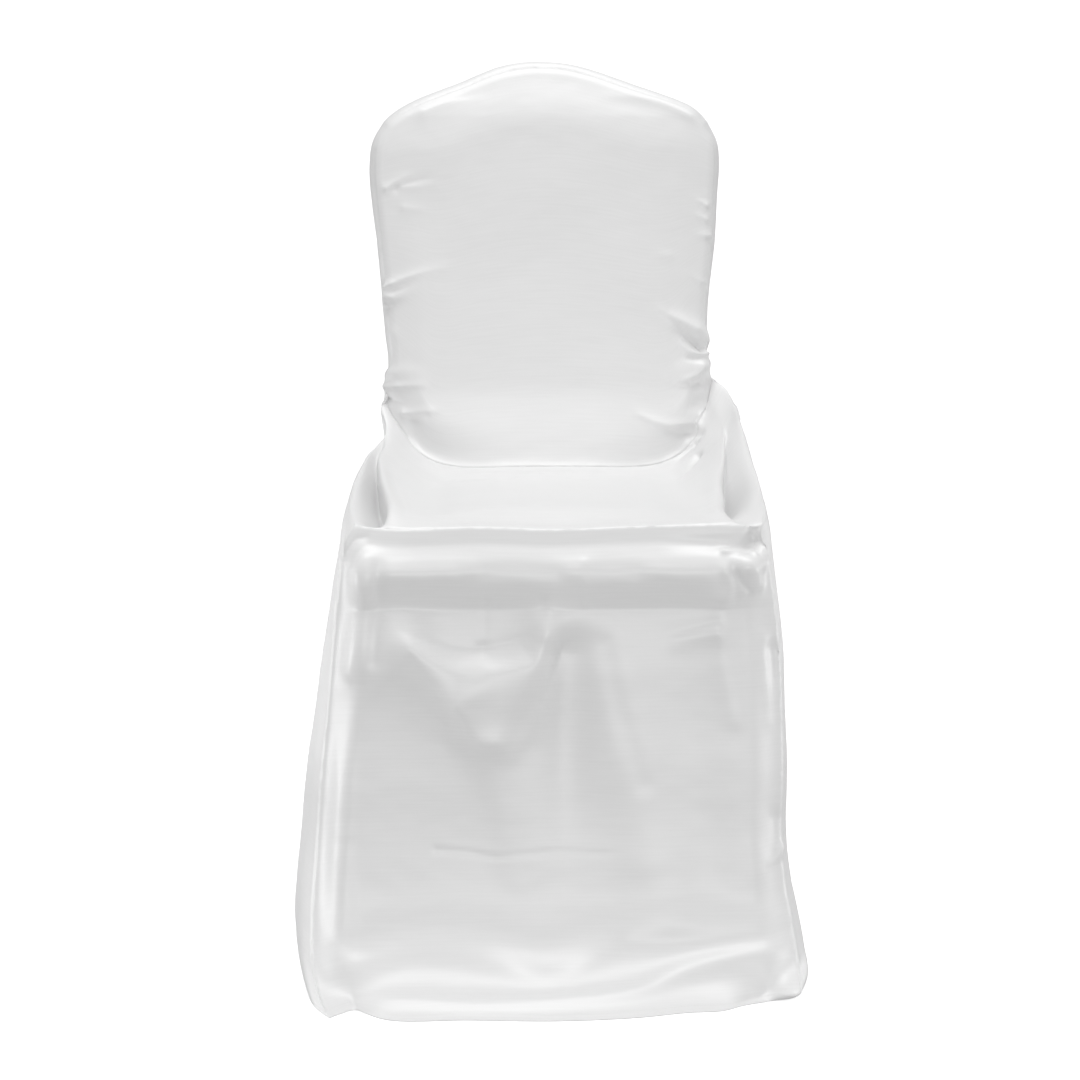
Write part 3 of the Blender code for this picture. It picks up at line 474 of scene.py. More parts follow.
    def sewn(self) -> dict[PanelName, list[Points]]:
        """Every panel's grids.

        Returns:
            For each panel its grids of points, rows down and columns across.
        """
        left, crown, right = self.backrest_line(
            SEAM_INSET, lambda up: self.edge_depth(up, SEAM_INSET))
        crown_seam = Line.resample(crown, self.across)
        sides = []
        for name, peak, line in (("left", LEFT_PEAK, left), ("right", RIGHT_PEAK, right)):
            lower = [peak] + [(getattr(row, name), row.back, row.up) for row in REAR_SEAM]
            sides.append((Line.curve([*line[::24], line[-1], peak], self.back_down),
                          Line.curve(lower, self.skirt_down)))
        left_rim, right_rim = Line.curve(LEFT_RIM, self.forward), Line.curve(RIGHT_RIM, self.forward)
        back_seat = Line.curve(BACK_SEAT_SEAM, self.across)
        seat_front = Line.curve(SEAT_FRONT, self.across)
        corners = [Line.curve([rim, *rows, hem], self.skirt_down)
                   for rim, rows, hem in ((LEFT_RIM[-1], LEFT_CORNER, HEM_FRONT[0]),
                                          (RIGHT_RIM[-1], RIGHT_CORNER, HEM_FRONT[-1]))]
        hem_left = Line.curve(HEM_SIDE_LEFT, self.forward)
        hem_right = Line.curve(HEM_SIDE_RIGHT, self.forward)
        return {
            PanelName.INSIDE_BACK: [self.inside_back(crown_seam, sides[0][0], sides[1][0], back_seat)],
            PanelName.SEAT: [self.seat(back_seat, seat_front, left_rim, right_rim)],
            PanelName.FRONT: [self.front(seat_front, Line.curve(HEM_FRONT, self.across), *corners)],
            PanelName.LEFT: [Line.between(left_rim, hem_left, sides[0][1], corners[0],
                                          self.skirt_down, self.forward)],
            PanelName.RIGHT: [Line.between(right_rim, hem_right, sides[1][1], corners[1],
                                           self.skirt_down, self.forward)],
            PanelName.BACK: self.outside_back(crown_seam, sides),
        }


@dataclass(frozen=True)
class Fold:
    """A soft ridge of the cloth along a line, or a trough where its lift is negative.

    Attributes:
        line: Places along it.
        spread: How far it reaches on one side of its line.
        other_spread: How far it reaches on the other side.
        lift: Its height at its start.
        end_lift: Its height at its end.
        crisp: 2 is round on top, 1 is a sharp crest.
    """

    line: list[Spot]
    spread: float
    other_spread: float
    lift: float
    end_lift: float
    crisp: float = 2.0

    def lift_of(self, points: Points, normals: Points) -> Points:
        """How far it lifts each point along its normal."""
        line = Line.curve(self.line, np.linspace(0, 1, 4 * len(self.line) + 5))
        reach = 3 * max(self.spread, self.other_spread)
        near = np.flatnonzero(np.all((points > line.min(axis=0) - reach)
                                     & (points < line.max(axis=0) + reach), axis=1))
        lift = np.zeros(len(points))
        if not len(near):
            return lift
        distance, share, away, along = Line.nearest(points[near], line)
        side = (np.cross(along, normals[near]) * away).sum(axis=1)
        side = side / np.maximum(np.linalg.norm(along, axis=1) * distance, 1e-12)
        spread = Line.mix(self.other_spread, self.spread, (1 + np.clip(side, -1, 1)) / 2)
        height = Line.mix(self.lift, self.end_lift, share)
        lift[near] = height * np.exp(-((distance / spread) ** self.crisp))
        return lift


class Crease(NamedTuple):
    """A fine fold as the photo shows it: the sizes of a fold, and the pixels that it runs along."""

    spread: float
    other_spread: float
    lift: float
    end_lift: float
    crisp: float
    seen: tuple[tuple[int, int], ...]


def crease(spread: float, other: float, lift: float, end: float, crisp: float,
           *seen: tuple[int, int]) -> Crease:
    """A crease from its sizes and the pixels along it."""
    return Crease(spread, other, lift, end, crisp, seen)


def fold(line: Sequence[tuple[float, float, float]], spread: float, other: float,
         lift: float, end: float, crisp: float = 2.0) -> Fold:
    """A fold from plain rows of its line's places."""
    return Fold(spots(*line), spread, other, lift, end, crisp)


# Broad folds, most of them on the solids too
MAIN_FOLDS = [
    fold([(-0.188, 0.430, 0.680), (-0.135, 0.420, 0.694)], 0.009, 0.007, 0.005, 0.000),
    fold([(-0.183, 0.422, 0.592), (-0.150, 0.405, 0.595)], 0.009, 0.007, 0.005, 0.001),
    fold([(0.186, 0.420, 0.632), (0.140, 0.414, 0.664)], 0.012, 0.009, 0.007, 0.000),
    fold([(0.188, 0.415, 0.606), (0.150, 0.405, 0.596)], 0.010, 0.008, 0.006, 0.001),
    fold([(0.176, 0.400, 0.545), (0.128, 0.396, 0.548)], 0.010, 0.007, 0.005, 0.000),
    fold([(0.200, -0.006, 0.452), (0.100, -0.008, 0.456)], 0.008, 0.008, -0.007, 0.000),
    fold([(0.203, -0.010, 0.436), (0.178, -0.018, 0.438)], 0.011, 0.011, 0.010, 0.004),
    fold([(-0.193, -0.010, 0.420), (-0.206, -0.018, 0.080)], 0.024, 0.030, 0.004, 0.004),
    fold([(0.168, -0.012, 0.400), (0.196, -0.018, 0.120)], 0.035, 0.026, 0.004, 0.005),
    fold([(-0.150, -0.010, 0.358), (-0.075, -0.012, 0.255), (-0.040, -0.020, 0.120)],
         0.018, 0.034, 0.006, 0.001),
    fold([(-0.014, -0.010, 0.360), (-0.060, -0.012, 0.262)], 0.026, 0.014, 0.005, 0.003),
    fold([(0.006, -0.010, 0.340), (0.012, -0.016, 0.110)], 0.020, 0.028, -0.007, -0.001),
    fold([(0.060, -0.010, 0.320), (0.110, -0.020, 0.090)], 0.036, 0.040, 0.006, 0.006),
    fold([(-0.225, -0.050, 0.038), (-0.100, -0.042, 0.047), (-0.060, -0.050, 0.038),
          (-0.014, -0.066, 0.024), (0.030, -0.050, 0.040), (0.064, -0.034, 0.060),
          (0.150, -0.030, 0.068), (0.232, -0.028, 0.072)], 0.017, 0.024, 0.005, 0.0035),
    fold([(-0.210, -0.090, 0.011), (0.000, -0.096, 0.010), (0.070, -0.084, 0.014),
          (0.120, -0.062, 0.028), (0.236, -0.040, 0.048)], 0.012, 0.014, 0.004, 0.006),
    fold([(-0.210, 0.330, 0.430), (-0.262, 0.350, 0.020)], 0.035, 0.030, 0.002, 0.009),
    fold([(-0.214, 0.200, 0.420), (-0.264, 0.230, 0.020)], 0.026, 0.030, -0.003, -0.009),
    fold([(-0.220, 0.090, 0.400), (-0.260, 0.110, 0.020)], 0.034, 0.028, 0.002, 0.005),
    fold([(0.212, 0.340, 0.450), (0.254, 0.330, 0.020)], 0.030, 0.036, 0.002, 0.008),
    fold([(0.216, 0.220, 0.440), (0.252, 0.210, 0.020)], 0.026, 0.024, -0.004, -0.010),
    fold([(0.228, 0.110, 0.330), (0.232, 0.100, 0.180)], 0.030, 0.026, 0.000, -0.004),
    fold([(0.232, 0.060, 0.150), (0.238, 0.050, 0.100)], 0.018, 0.022, -0.006, -0.003),
    fold([(-0.110, 0.532, 0.420), (-0.140, 0.545, 0.020)], 0.034, 0.040, 0.002, 0.013),
    fold([(-0.030, 0.532, 0.460), (-0.036, 0.545, 0.020)], 0.030, 0.034, -0.002, -0.011),
    fold([(0.050, 0.532, 0.400), (0.070, 0.545, 0.020)], 0.036, 0.034, 0.001, 0.012),
    fold([(0.130, 0.532, 0.380), (0.158, 0.545, 0.020)], 0.026, 0.030, -0.001, -0.009),
]

# Finer creases, each along pixels of the 1080-pixel photo
BACKREST_CREASES = [
    # pulls of the backrest's left side
    crease(0.0026, 0.0055, 0.0029, 0.0002, 1.4, (386, 189), (394, 184), (404, 178), (416, 175)),
    crease(0.0050, 0.0030, -0.0019, -0.0002, 1.6, (396, 188), (410, 182), (436, 176)),
    crease(0.0040, 0.0040, 0.0014, 0.0002, 1.6, (402, 187), (420, 186), (434, 184)),
    crease(0.0050, 0.0050, 0.0011, 0.0001, 1.6, (404, 208), (428, 211)),
    crease(0.0032, 0.0060, 0.0057, 0.0004, 1.3, (386, 288), (396, 283), (412, 277), (430, 272), (446, 269)),
    crease(0.0040, 0.0030, -0.0041, -0.0004, 1.5, (388, 293), (400, 289), (412, 285)),
    crease(0.0028, 0.0060, 0.0046, 0.0006, 1.4, (384, 295), (393, 299), (404, 295), (410, 292)),
    crease(0.0060, 0.0060, -0.0049, -0.0006, 1.6, (384, 307), (389, 308), (396, 304)),
    crease(0.0060, 0.0070, 0.0017, 0.0004, 1.8, (391, 332), (398, 337)),
    crease(0.0070, 0.0060, 0.0017, 0.0004, 1.8, (392, 372), (404, 368)),
    crease(0.0028, 0.0062, 0.0068, 0.0010, 1.6, (386, 388), (400, 387), (416, 386), (424, 386)),
    crease(0.0060, 0.0050, -0.0046, -0.0006, 1.6, (386, 398), (396, 402), (404, 405)),
    crease(0.0028, 0.0060, 0.0054, 0.0006, 1.6, (404, 414), (416, 413), (430, 412), (440, 411)),
    crease(0.0050, 0.0040, -0.0014, -0.0004, 1.6, (410, 420), (424, 422)),
    # pulls of its right side
    crease(0.0045, 0.0024, 0.0029, 0.0004, 1.4, (706, 206), (700, 202), (696, 199)),
    crease(0.0045, 0.0024, 0.0025, 0.0003, 1.4, (706, 220), (700, 217), (694, 214)),
    crease(0.0050, 0.0026, 0.0038, 0.0004, 1.4, (712, 238), (706, 236), (697, 235)),
    crease(0.0040, 0.0040, -0.0026, -0.0004, 1.5, (712, 243), (706, 241)),
    crease(0.0050, 0.0028, 0.0026, 0.0003, 1.5, (707, 286), (700, 281), (690, 276)),
    crease(0.0060, 0.0070, 0.0012, 0.0002, 1.8, (668, 256), (654, 252)),
    crease(0.0060, 0.0032, 0.0054, 0.0008, 1.4, (696, 330), (684, 323), (672, 317), (656, 308)),
    crease(0.0055, 0.0060, -0.0101, -0.0020, 1.7, (702, 349), (693, 341), (685, 335), (677, 329)),
    crease(0.0060, 0.0030, 0.0081, 0.0012, 1.4, (706, 353), (698, 354), (688, 351), (682, 345)),
    crease(0.0045, 0.0040, -0.0047, -0.0008, 1.6, (706, 360), (694, 358), (684, 357)),
    crease(0.0065, 0.0030, 0.0074, 0.0010, 1.5, (705, 366), (698, 374), (688, 379), (676, 381)),
    crease(0.0060, 0.0050, -0.0030, -0.0006, 1.7, (700, 384), (688, 388), (674, 388)),
    crease(0.0060, 0.0060, 0.0014, 0.0002, 1.8, (704, 392), (690, 400), (674, 404)),
    # the wide pull above the seat, and the two creases below it
    crease(0.0080, 0.0034, 0.0084, 0.0008, 1.5, (697, 426), (684, 424), (668, 426), (652, 422), (638, 414)),
    crease(0.0060, 0.0050, -0.0041, -0.0006, 1.7, (700, 434), (684, 434), (664, 434)),
    crease(0.0045, 0.0060, -0.0061, -0.0010, 1.6, (694, 442), (684, 452), (674, 464)),
    crease(0.0045, 0.0060, -0.0068, -0.0012, 1.6, (697, 455), (693, 462), (688, 470)),
    # faint wave where the backrest meets the seat
    crease(0.0050, 0.0060, 0.0014, 0.0010, 1.6, (466, 481), (500, 479), (540, 476), (583, 480)),
    # bright ends of the bevel under the crown
    crease(0.0140, 0.0060, 0.0026, 0.0004, 1.6, (424, 112), (445, 104), (474, 100)),
    crease(0.0200, 0.0070, 0.0026, 0.0006, 1.6, (690, 116), (655, 100), (612, 96)),
]
# Those of the swag lie on the plain cloth under its main folds
SWAG_CREASES = [
    # swag of the front skirt: the creases that bound its two wings above
    crease(0.0060, 0.0060, -0.0014, -0.0014, 1.7, (402, 630), (420, 638), (445, 645), (466, 650),
           (482, 649)),
    crease(0.0060, 0.0060, -0.0014, -0.0014, 1.7, (482, 649), (505, 645), (525, 637), (540, 622),
           (543, 600)),
    # the wings: cloth that comes forward as it falls
    crease(0.0560, 0.0140, 0.0150, 0.0080, 1.7, (412, 648), (428, 661), (444, 669), (458, 672)),
    crease(0.0520, 0.0140, 0.0120, 0.0080, 1.7, (494, 672), (516, 669), (536, 663), (545, 648), (548, 630)),
    # the hollow between them
    crease(0.0080, 0.0080, -0.0004, -0.0003, 2.0, (484, 652), (484, 664), (482, 674)),
    crease(0.0040, 0.0040, -0.0008, -0.0003, 1.6, (486, 602), (484, 622), (486, 644)),
    # its point
    crease(0.0080, 0.0080, -0.0006, -0.0004, 1.8, (466, 704), (474, 706), (486, 706)),
    crease(0.0090, 0.0160, 0.0044, 0.0036, 1.7, (464, 738), (480, 744), (498, 744)),
    # its long left crest
    crease(0.0100, 0.0300, 0.0006, 0.0034, 1.7, (404, 640), (416, 662), (434, 686), (455, 708)),
    crease(0.0100, 0.0260, 0.0034, 0.0004, 1.7, (455, 708), (472, 732), (490, 748), (508, 754)),
    # its right crease
    crease(0.0035, 0.0045, -0.0024, -0.0010, 1.4, (562, 645), (554, 666), (546, 686), (540, 702)),
    crease(0.0240, 0.0090, 0.0020, 0.0016, 1.6, (549, 634), (548, 650), (545, 668), (538, 698),
           (528, 728), (512, 752)),
    # the dark hollow right of the middle and the soft crease beside it
    crease(0.0280, 0.0280, -0.0034, -0.0010, 2.0, (572, 656), (574, 720), (566, 800)),
    crease(0.0110, 0.0110, -0.0014, -0.0012, 2.0, (606, 646), (614, 690), (626, 730), (642, 784)),
    # right edge of the skirt's middle
    crease(0.0060, 0.0110, 0.0036, 0.0012, 1.6, (716, 632), (696, 636), (676, 640)),
    crease(0.0060, 0.0060, -0.0010, -0.0004, 1.5, (716, 622), (694, 627), (672, 632)),
    crease(0.0120, 0.0120, 0.0026, 0.0016, 1.8, (722, 600), (724, 660), (736, 720)),
]
SKIRT_CREASES = [
    # the puffy roll under the lip
    crease(0.0100, 0.0100, -0.0018, -0.0018, 2.0, (486, 573), (520, 569), (556, 572)),
    crease(0.0100, 0.0100, -0.0014, -0.0014, 2.0, (588, 571), (612, 568), (636, 572)),
    crease(0.0100, 0.0100, 0.0012, 0.0012, 2.0, (392, 574), (420, 578), (448, 577)),
    crease(0.0100, 0.0100, 0.0010, 0.0010, 2.0, (664, 574), (684, 578), (700, 574)),
    crease(0.0080, 0.0080, 0.0006, 0.0006, 2.0, (560, 566), (574, 568), (584, 566)),
    crease(0.0030, 0.0030, 0.0010, 0.0008, 1.4, (584, 562), (585, 580), (584, 602)),
    # left front corner
    crease(0.0025, 0.0035, -0.0034, -0.0016, 1.4, (345, 556), (348, 547), (353, 540), (366, 537)),
    crease(0.0030, 0.0040, 0.0030, 0.0010, 1.4, (348, 562), (354, 552), (362, 544)),
    crease(0.0110, 0.0100, 0.0050, 0.0030, 1.6, (364, 560), (363, 600), (360, 640), (352, 672)),
    crease(0.0080, 0.0080, -0.0026, -0.0024, 1.8, (377, 566), (376, 620), (374, 660)),
    crease(0.0200, 0.0100, 0.0016, 0.0020, 1.9, (340, 690), (337, 730), (339, 784), (336, 850),
           (338, 900), (336, 950)),
    crease(0.0100, 0.0220, -0.0020, -0.0022, 1.9, (356, 690), (354, 730), (358, 784), (356, 850),
           (360, 900), (357, 950)),
    # right front corner: a deep tuck, the curl under it and a puff of cloth
    crease(0.0080, 0.0110, -0.0156, -0.0040, 1.7, (756, 535), (749, 541), (741, 546)),
    crease(0.0040, 0.0030, 0.0060, 0.0050, 1.5, (756, 554), (748, 550), (736, 551), (724, 552)),
    crease(0.0022, 0.0022, 0.0026, 0.0026, 1.5, (755, 554), (757, 560), (752, 566), (744, 564), (742, 557)),
    crease(0.0025, 0.0025, -0.0036, -0.0030, 1.5, (752, 556), (751, 561), (747, 561), (747, 556)),
    crease(0.0090, 0.0080, 0.0080, 0.0050, 1.8, (750, 568), (754, 576), (757, 584)),
    crease(0.0022, 0.0025, -0.0036, -0.0020, 1.4, (738, 574), (744, 586), (750, 593), (744, 602)),
    crease(0.0025, 0.0025, 0.0040, 0.0030, 1.4, (760, 530), (761, 542), (762, 554)),
    crease(0.0060, 0.0060, 0.0030, 0.0016, 1.6, (726, 570), (730, 584), (728, 600)),
    crease(0.0045, 0.0045, -0.0028, -0.0014, 1.5, (732, 566), (736, 582), (735, 598)),
    # right side of the skirt
    crease(0.0080, 0.0090, -0.0030, -0.0016, 1.8, (772, 650), (773, 662), (774, 676)),
    crease(0.0090, 0.0090, 0.0020, 0.0010, 1.8, (764, 640), (766, 680), (768, 720)),
    crease(0.0080, 0.0080, -0.0022, -0.0012, 1.8, (776, 818), (777, 828), (778, 838)),
    crease(0.0040, 0.0040, 0.0034, 0.0012, 1.5, (782, 848), (778, 856), (770, 862)),
    # packing creases
    crease(0.0022, 0.0026, -0.0012, -0.0005, 1.6, (435, 850), (470, 853), (496, 857), (520, 855),
           (560, 852), (600, 854), (636, 851)),
    crease(0.0018, 0.0018, 0.0006, 0.0006, 1.5, (340, 836), (356, 832), (380, 828)),
]


@dataclass
class Sight:
    """Where the camera stands and what each pixel of its picture sees.

    Attributes:
        stand: Where it stands, in the chair's axes.
        turn: Its turn towards +X and its tip down, in radians.
        focal: Its focal length in pixels.
        width: Pixels across its square picture.
    """

    stand: tuple[float, float, float] = (-0.087, -2.6, 0.813)
    turn: tuple[float, float] = (0.026721, 0.136066)
    focal: float = 2626.0
    width: float = 1080.0

    def ahead(self) -> Vector:
        """The way that it looks."""
        yaw, pitch = self.turn
        return Vector((np.sin(yaw) * np.cos(pitch), np.cos(yaw) * np.cos(pitch), -np.sin(pitch)))

    def through(self, pixel: tuple[int, int]) -> Vector:
        """The way from its stand through a pixel.

        Args:
            pixel: Across and down from the picture's upper left corner.

        Returns:
            The direction, of length 1.
        """
        right = Vector((np.cos(self.turn[0]), -np.sin(self.turn[0]), 0))
        across, down = ((count - self.width / 2) / self.focal for count in pixel)
        return (self.ahead() + across * right - down * right.cross(self.ahead())).normalized()


@dataclass
class Drape:
    """Folds the sewn skin and gives it the small unevenness of hanging cloth.

    Attributes:
        ripple: Height of the broad unevenness.
        ripple_size: Its width.
        crinkle: Height of the fine unevenness.
        crinkle_size: Its width.
        seam_depth: How far the seams are drawn in.
        pucker_size: Width of the small gathers along them.
        pucker: How much the gathers change that depth.
        seam_fade: How far from the seat's rear the seams reach their full depth.
        foot_reach: How far from the seat's rear the cloth is rounded off.
        foot_rounds: How often it is smoothed there.
        floor_fade: Below this height the unevenness dies out.
        sight: The camera that sees the creases where the photo has them.
        off_floor: How high the cloth that lies on the floor stays above it.
    """

    ripple: float = 0.0016
    ripple_size: float = 0.085
    crinkle: float = 0.00022
    crinkle_size: float = 0.024
    seam_depth: float = 0.0013
    pucker_size: float = 0.007
    pucker: float = 0.7
    seam_fade: float = 0.02
    foot_reach: float = 0.060
    foot_rounds: int = 600
    floor_fade: float = 0.03
    sight: Sight = field(default_factory=Sight)
    off_floor: float = 0.0008

    @staticmethod
    def grids_of(skin: dict[PanelName, list[Points]]) -> list[Points]:
        """Every grid of every panel, in order."""
        return [grid for grids in skin.values() for grid in grids]

    @staticmethod
    def weld(grids: list[Points]) -> tuple[Points, Points]:
        """The skin's single points, and each grid point's place among them."""
        loose = np.concatenate([grid.reshape(-1, 3) for grid in grids])
        _, first, index = np.unique(np.round(loose, 5), axis=0, return_index=True, return_inverse=True)
        return loose[first], index.reshape(-1)

    @staticmethod
    def outward(name: PanelName, points: Points) -> Points:
        """Roughly which way the cloth faces at points of a panel."""
        plain = {PanelName.INSIDE_BACK: (0, -1, 0), PanelName.SEAT: (0, 0, 1), PanelName.FRONT: (0, -1, 0),
                 PanelName.LEFT: (-1, 0, 0), PanelName.RIGHT: (1, 0, 0), PanelName.BACK: (0, 0.3, 0)}
        facing = np.tile(np.array(plain[name], float), (len(points), 1))
        if name is PanelName.BACK:
            facing[:, 0] = np.sign(points[:, 0])
        return facing

    @classmethod
    def quads(cls, name: PanelName, grids: list[Points]) -> Points:
        """The corners of every quad of a panel, as numbers of its grid points, faces outwards."""
        found, start = [], 0
        for grid in grids:
            rows, columns = grid.shape[:2]
            number = np.arange(rows * columns).reshape(rows, columns)
            own = np.stack([number[:-1, :-1], number[1:, :-1], number[1:, 1:], number[:-1, 1:]],
                           axis=-1).reshape(-1, 4)
            points = grid.reshape(-1, 3)
            normal = np.cross(points[own[:, 2]] - points[own[:, 0]], points[own[:, 3]] - points[own[:, 1]])
            if (normal * cls.outward(name, points[own[:, 0]])).sum() < 0:
                own = own[:, (0, 3, 2, 1)]
            found.append(own + start)
            start += rows * columns
        return np.concatenate(found)

    @staticmethod
    def softened(points: Points, quads: Points, line: Points, reach: float, rounds: int) -> Points:
        """The skin with the cloth near a line rounded off."""
        near = np.flatnonzero(np.all((points > line.min(axis=0) - reach)
                                     & (points < line.max(axis=0) + reach), axis=1))
        weight = np.zeros(len(points))
        weight[near] = 0.6 * Line.fade(Line.nearest(points[near], line)[0], reach)
        own = quads[weight[quads].max(axis=1) > 0]
        pairs = np.concatenate([own[:, (a, (a + step) % 4)] for a in range(4) for step in (1, 3)])
        count = np.bincount(pairs[:, 0], minlength=len(points))
        moved = points.copy()
        for _ in range(rounds):
            total = np.stack([np.bincount(pairs[:, 0], moved[pairs[:, 1], k], len(points))
                              for k in range(3)], axis=1)
            mean = total / np.maximum(count, 1)[:, None]
            moved = np.where(weight[:, None] > 0, Line.mix(moved, mean, weight[:, None]), moved)
        return moved

    @staticmethod
    def normals(points: Points, quads: Points) -> Points:
        """Outward normals of the skin's points."""
        diagonals = points[quads[:, 2]] - points[quads[:, 0]], points[quads[:, 3]] - points[quads[:, 1]]
        facing = np.cross(*diagonals)
        total = np.zeros_like(points)
        for corner in range(4):
            np.add.at(total, quads[:, corner], facing)
        return total / np.maximum(np.linalg.norm(total, axis=1), 1e-12)[:, None]

    def unevenness(self, points: Points) -> Points:
        """Small soft waves, the same on each run."""
        lift = np.empty(len(points))
        for index, place in enumerate(points):
            broad = Vector(place) / self.ripple_size
            fine = Vector((place[0], place[1], place[2] * 1.6)) / self.crinkle_size
            lift[index] = self.ripple * noise.noise(broad) + self.crinkle * noise.noise(fine)
        return lift

    def groove(self, points: Points, skin: dict[PanelName, list[Points]], index: Points,
               foot: Points) -> Points:
        """How deep the cloth is drawn in at its seams, unevenly, as thread gathers it."""
        panels, start = np.zeros(len(points)), 0
        for own in skin.values():
            size = sum(grid.shape[0] * grid.shape[1] for grid in own)
            panels[np.unique(index[start:start + size])] += 1
            start += size
        depth = np.zeros(len(points))
        sewn = np.flatnonzero((panels > 1) & (points[:, 2] > 0.003))
        gathers = np.array([noise.noise(Vector(place) / self.pucker_size) for place in points[sewn]])
        depth[sewn] = self.seam_depth * (1 + self.pucker * gathers)
        depth[sewn] *= np.clip(Line.nearest(points[sewn], foot)[0] / self.seam_fade, 0, 1)
        return depth

    def laid(self, creases: Sequence[Crease], tree: BVHTree, quads: Points, moved: Points) -> list[Fold]:
        """Creases laid on the cloth where the photo shows them.

        Args:
            creases: Their sizes and pixels.
            tree: The cloth that the camera sees.
            quads: The corners of its quads.
            moved: From each of its points to the cloth that carries the creases.

        Returns:
            The creases as folds with places.
        """
        folds = []
        for each in creases:
            hits = [tree.ray_cast(Vector(self.sight.stand), self.sight.through(pixel)) for pixel in each.seen]
            line = [Spot(*(np.array(place) + moved[quads[face]].mean(axis=0))) for place, _, face, _ in hits]
            folds.append(Fold(line, *each[:-1]))
        return folds

    def drape(self, skin: dict[PanelName, list[Points]]) -> dict[PanelName, list[Points]]:
        """The skin after its folds.

        Args:
            skin: Each panel's grids as sewn.

        Returns:
            The same grids as they hang.
        """
        grids = self.grids_of(skin)
        points, index = self.weld(grids)
        sizes = [sum(grid.shape[0] * grid.shape[1] for grid in own) for own in skin.values()]
        starts = np.cumsum([0] + sizes)
        quads = index[np.concatenate([self.quads(name, own) + start
                                      for (name, own), start in zip(skin.items(), starts)])]
        foot = Line.curve(SEAT_REAR, np.linspace(0, 1, 24))
        points = self.softened(points, quads, foot, self.foot_reach, self.foot_rounds)
        facing = self.normals(points, quads)
        on_floor = points[:, 2] < 1e-4
        facing[on_floor, 2] = 0
        lift = sum(each.lift_of(points, facing) for each in MAIN_FOLDS)
        lift += self.unevenness(points) * np.clip(points[:, 2] / self.floor_fade, 0, 1)
        lift -= self.groove(points, skin, index, foot)
        rise = lift[:, None] * facing
        tree = BVHTree.FromPolygons((points + rise).tolist(), quads.tolist())
        creases = self.laid(BACKREST_CREASES + SKIRT_CREASES, tree, quads, np.zeros_like(points))
        creases += self.laid(SWAG_CREASES, tree, quads, -rise)
        lift += sum(each.lift_of(points, facing) for each in creases)
        points = points + lift[:, None] * facing
        points[:, 2] = np.where(on_floor, self.off_floor, np.maximum(points[:, 2], 1.5 * self.off_floor))
        hung, start = {}, 0
        for name, own in skin.items():
            hung[name] = []
            for grid in own:
                size = grid.shape[0] * grid.shape[1]
                hung[name].append(points[index[start:start + size]].reshape(grid.shape))
                start += size
        return hung


def node(tree: bpy.types.NodeTree, kind: str, values: dict | None = None, **settings: str) -> bpy.types.Node:
    """A new node.

    Args:
        tree: The tree that it joins.
        kind: Its kind.
        values: The values of its inputs, by name or number.
        settings: Its own settings.

    Returns:
        The node.
    """
    made = tree.nodes.new(kind)
    for name, setting in settings.items():
        setattr(made, name, setting)
    for name, value in (values or {}).items():
        made.inputs[name].default_value = value
    return made


def joined(tree: bpy.types.NodeTree, *ways: tuple) -> None:
    """Links nodes.

    Args:
        tree: Their tree.
        ways: For each link the node that it leaves, its output, the node that it enters and its input.
    """
    for start, out, end, into in ways:
        tree.links.new(start.outputs[out], end.inputs[into])


@dataclass(frozen=True)
class Satin:
    """White polyester satin: smooth warp floats that spread a highlight across the threads.

    Attributes:
        name: The material's name.
        white: Its colour.
        roughness: How far a highlight spreads.
        sheen: The soft glow at grazing angles.
        gloss: Index of refraction of its surface, high as on tight satin.
        thread: Pitch of the weave.
    """

    name: str = "white_satin"
    white: tuple[float, float, float] = (0.80, 0.80, 0.80)
    roughness: float = 0.44
    sheen: float = 0.06
    gloss: float = 1.9
    thread: float = 0.0006

    def material(self) -> bpy.types.Material:
        """The finished material."""
        made = bpy.data.materials.new(self.name)
        made.use_nodes = True
        tree = made.node_tree
        shader = tree.nodes["Principled BSDF"]
        for name, value in (("Sheen Weight", self.sheen), ("Sheen Roughness", 0.35),
                            ("IOR", self.gloss), ("Anisotropic", 0.3)):
            shader.inputs[name].default_value = value
        cloth = node(tree, "ShaderNodeUVMap", uv_map="cloth")
        tangent = node(tree, "ShaderNodeTangent", direction_type="UV_MAP", uv_map="cloth")
        stretch = node(tree, "ShaderNodeMapping", {"Scale": (18, 420, 1)})
        slub = node(tree, "ShaderNodeTexNoise", {"Scale": 1.0, "Detail": 3.0})
        tone = node(tree, "ShaderNodeMapRange",
                    {"From Min": 0.3, "From Max": 0.7, "To Min": 0.985, "To Max": 1.015})
        colour = node(tree, "ShaderNodeMix", {"Factor": 1.0, 6: (*self.white, 1)},
                      data_type="RGBA", blend_type="MULTIPLY")
        gloss = node(tree, "ShaderNodeMapRange",
                     {"To Min": self.roughness - 0.04, "To Max": self.roughness + 0.04})
        weave = node(tree, "ShaderNodeTexWave", {"Scale": 1 / self.thread / 2, "Distortion": 0.4},
                     bands_direction="DIAGONAL")
        raised = node(tree, "ShaderNodeMix", {"Factor": 0.35}, data_type="FLOAT")
        bump = node(tree, "ShaderNodeBump", {"Strength": 0.12, "Distance": 0.0003})
        joined(tree, (tangent, "Tangent", shader, "Tangent"), (cloth, "UV", stretch, "Vector"),
               (stretch, "Vector", slub, "Vector"), (slub, "Fac", tone, "Value"),
               (tone, "Result", colour, 7), (colour, 2, shader, "Base Color"),
               (slub, "Fac", gloss, "Value"), (gloss, "Result", shader, "Roughness"),
               (cloth, "UV", weave, "Vector"), (slub, "Fac", raised, 2), (weave, "Fac", raised, 3),
               (raised, 0, bump, "Height"), (bump, "Normal", shader, "Normal"))
        return made


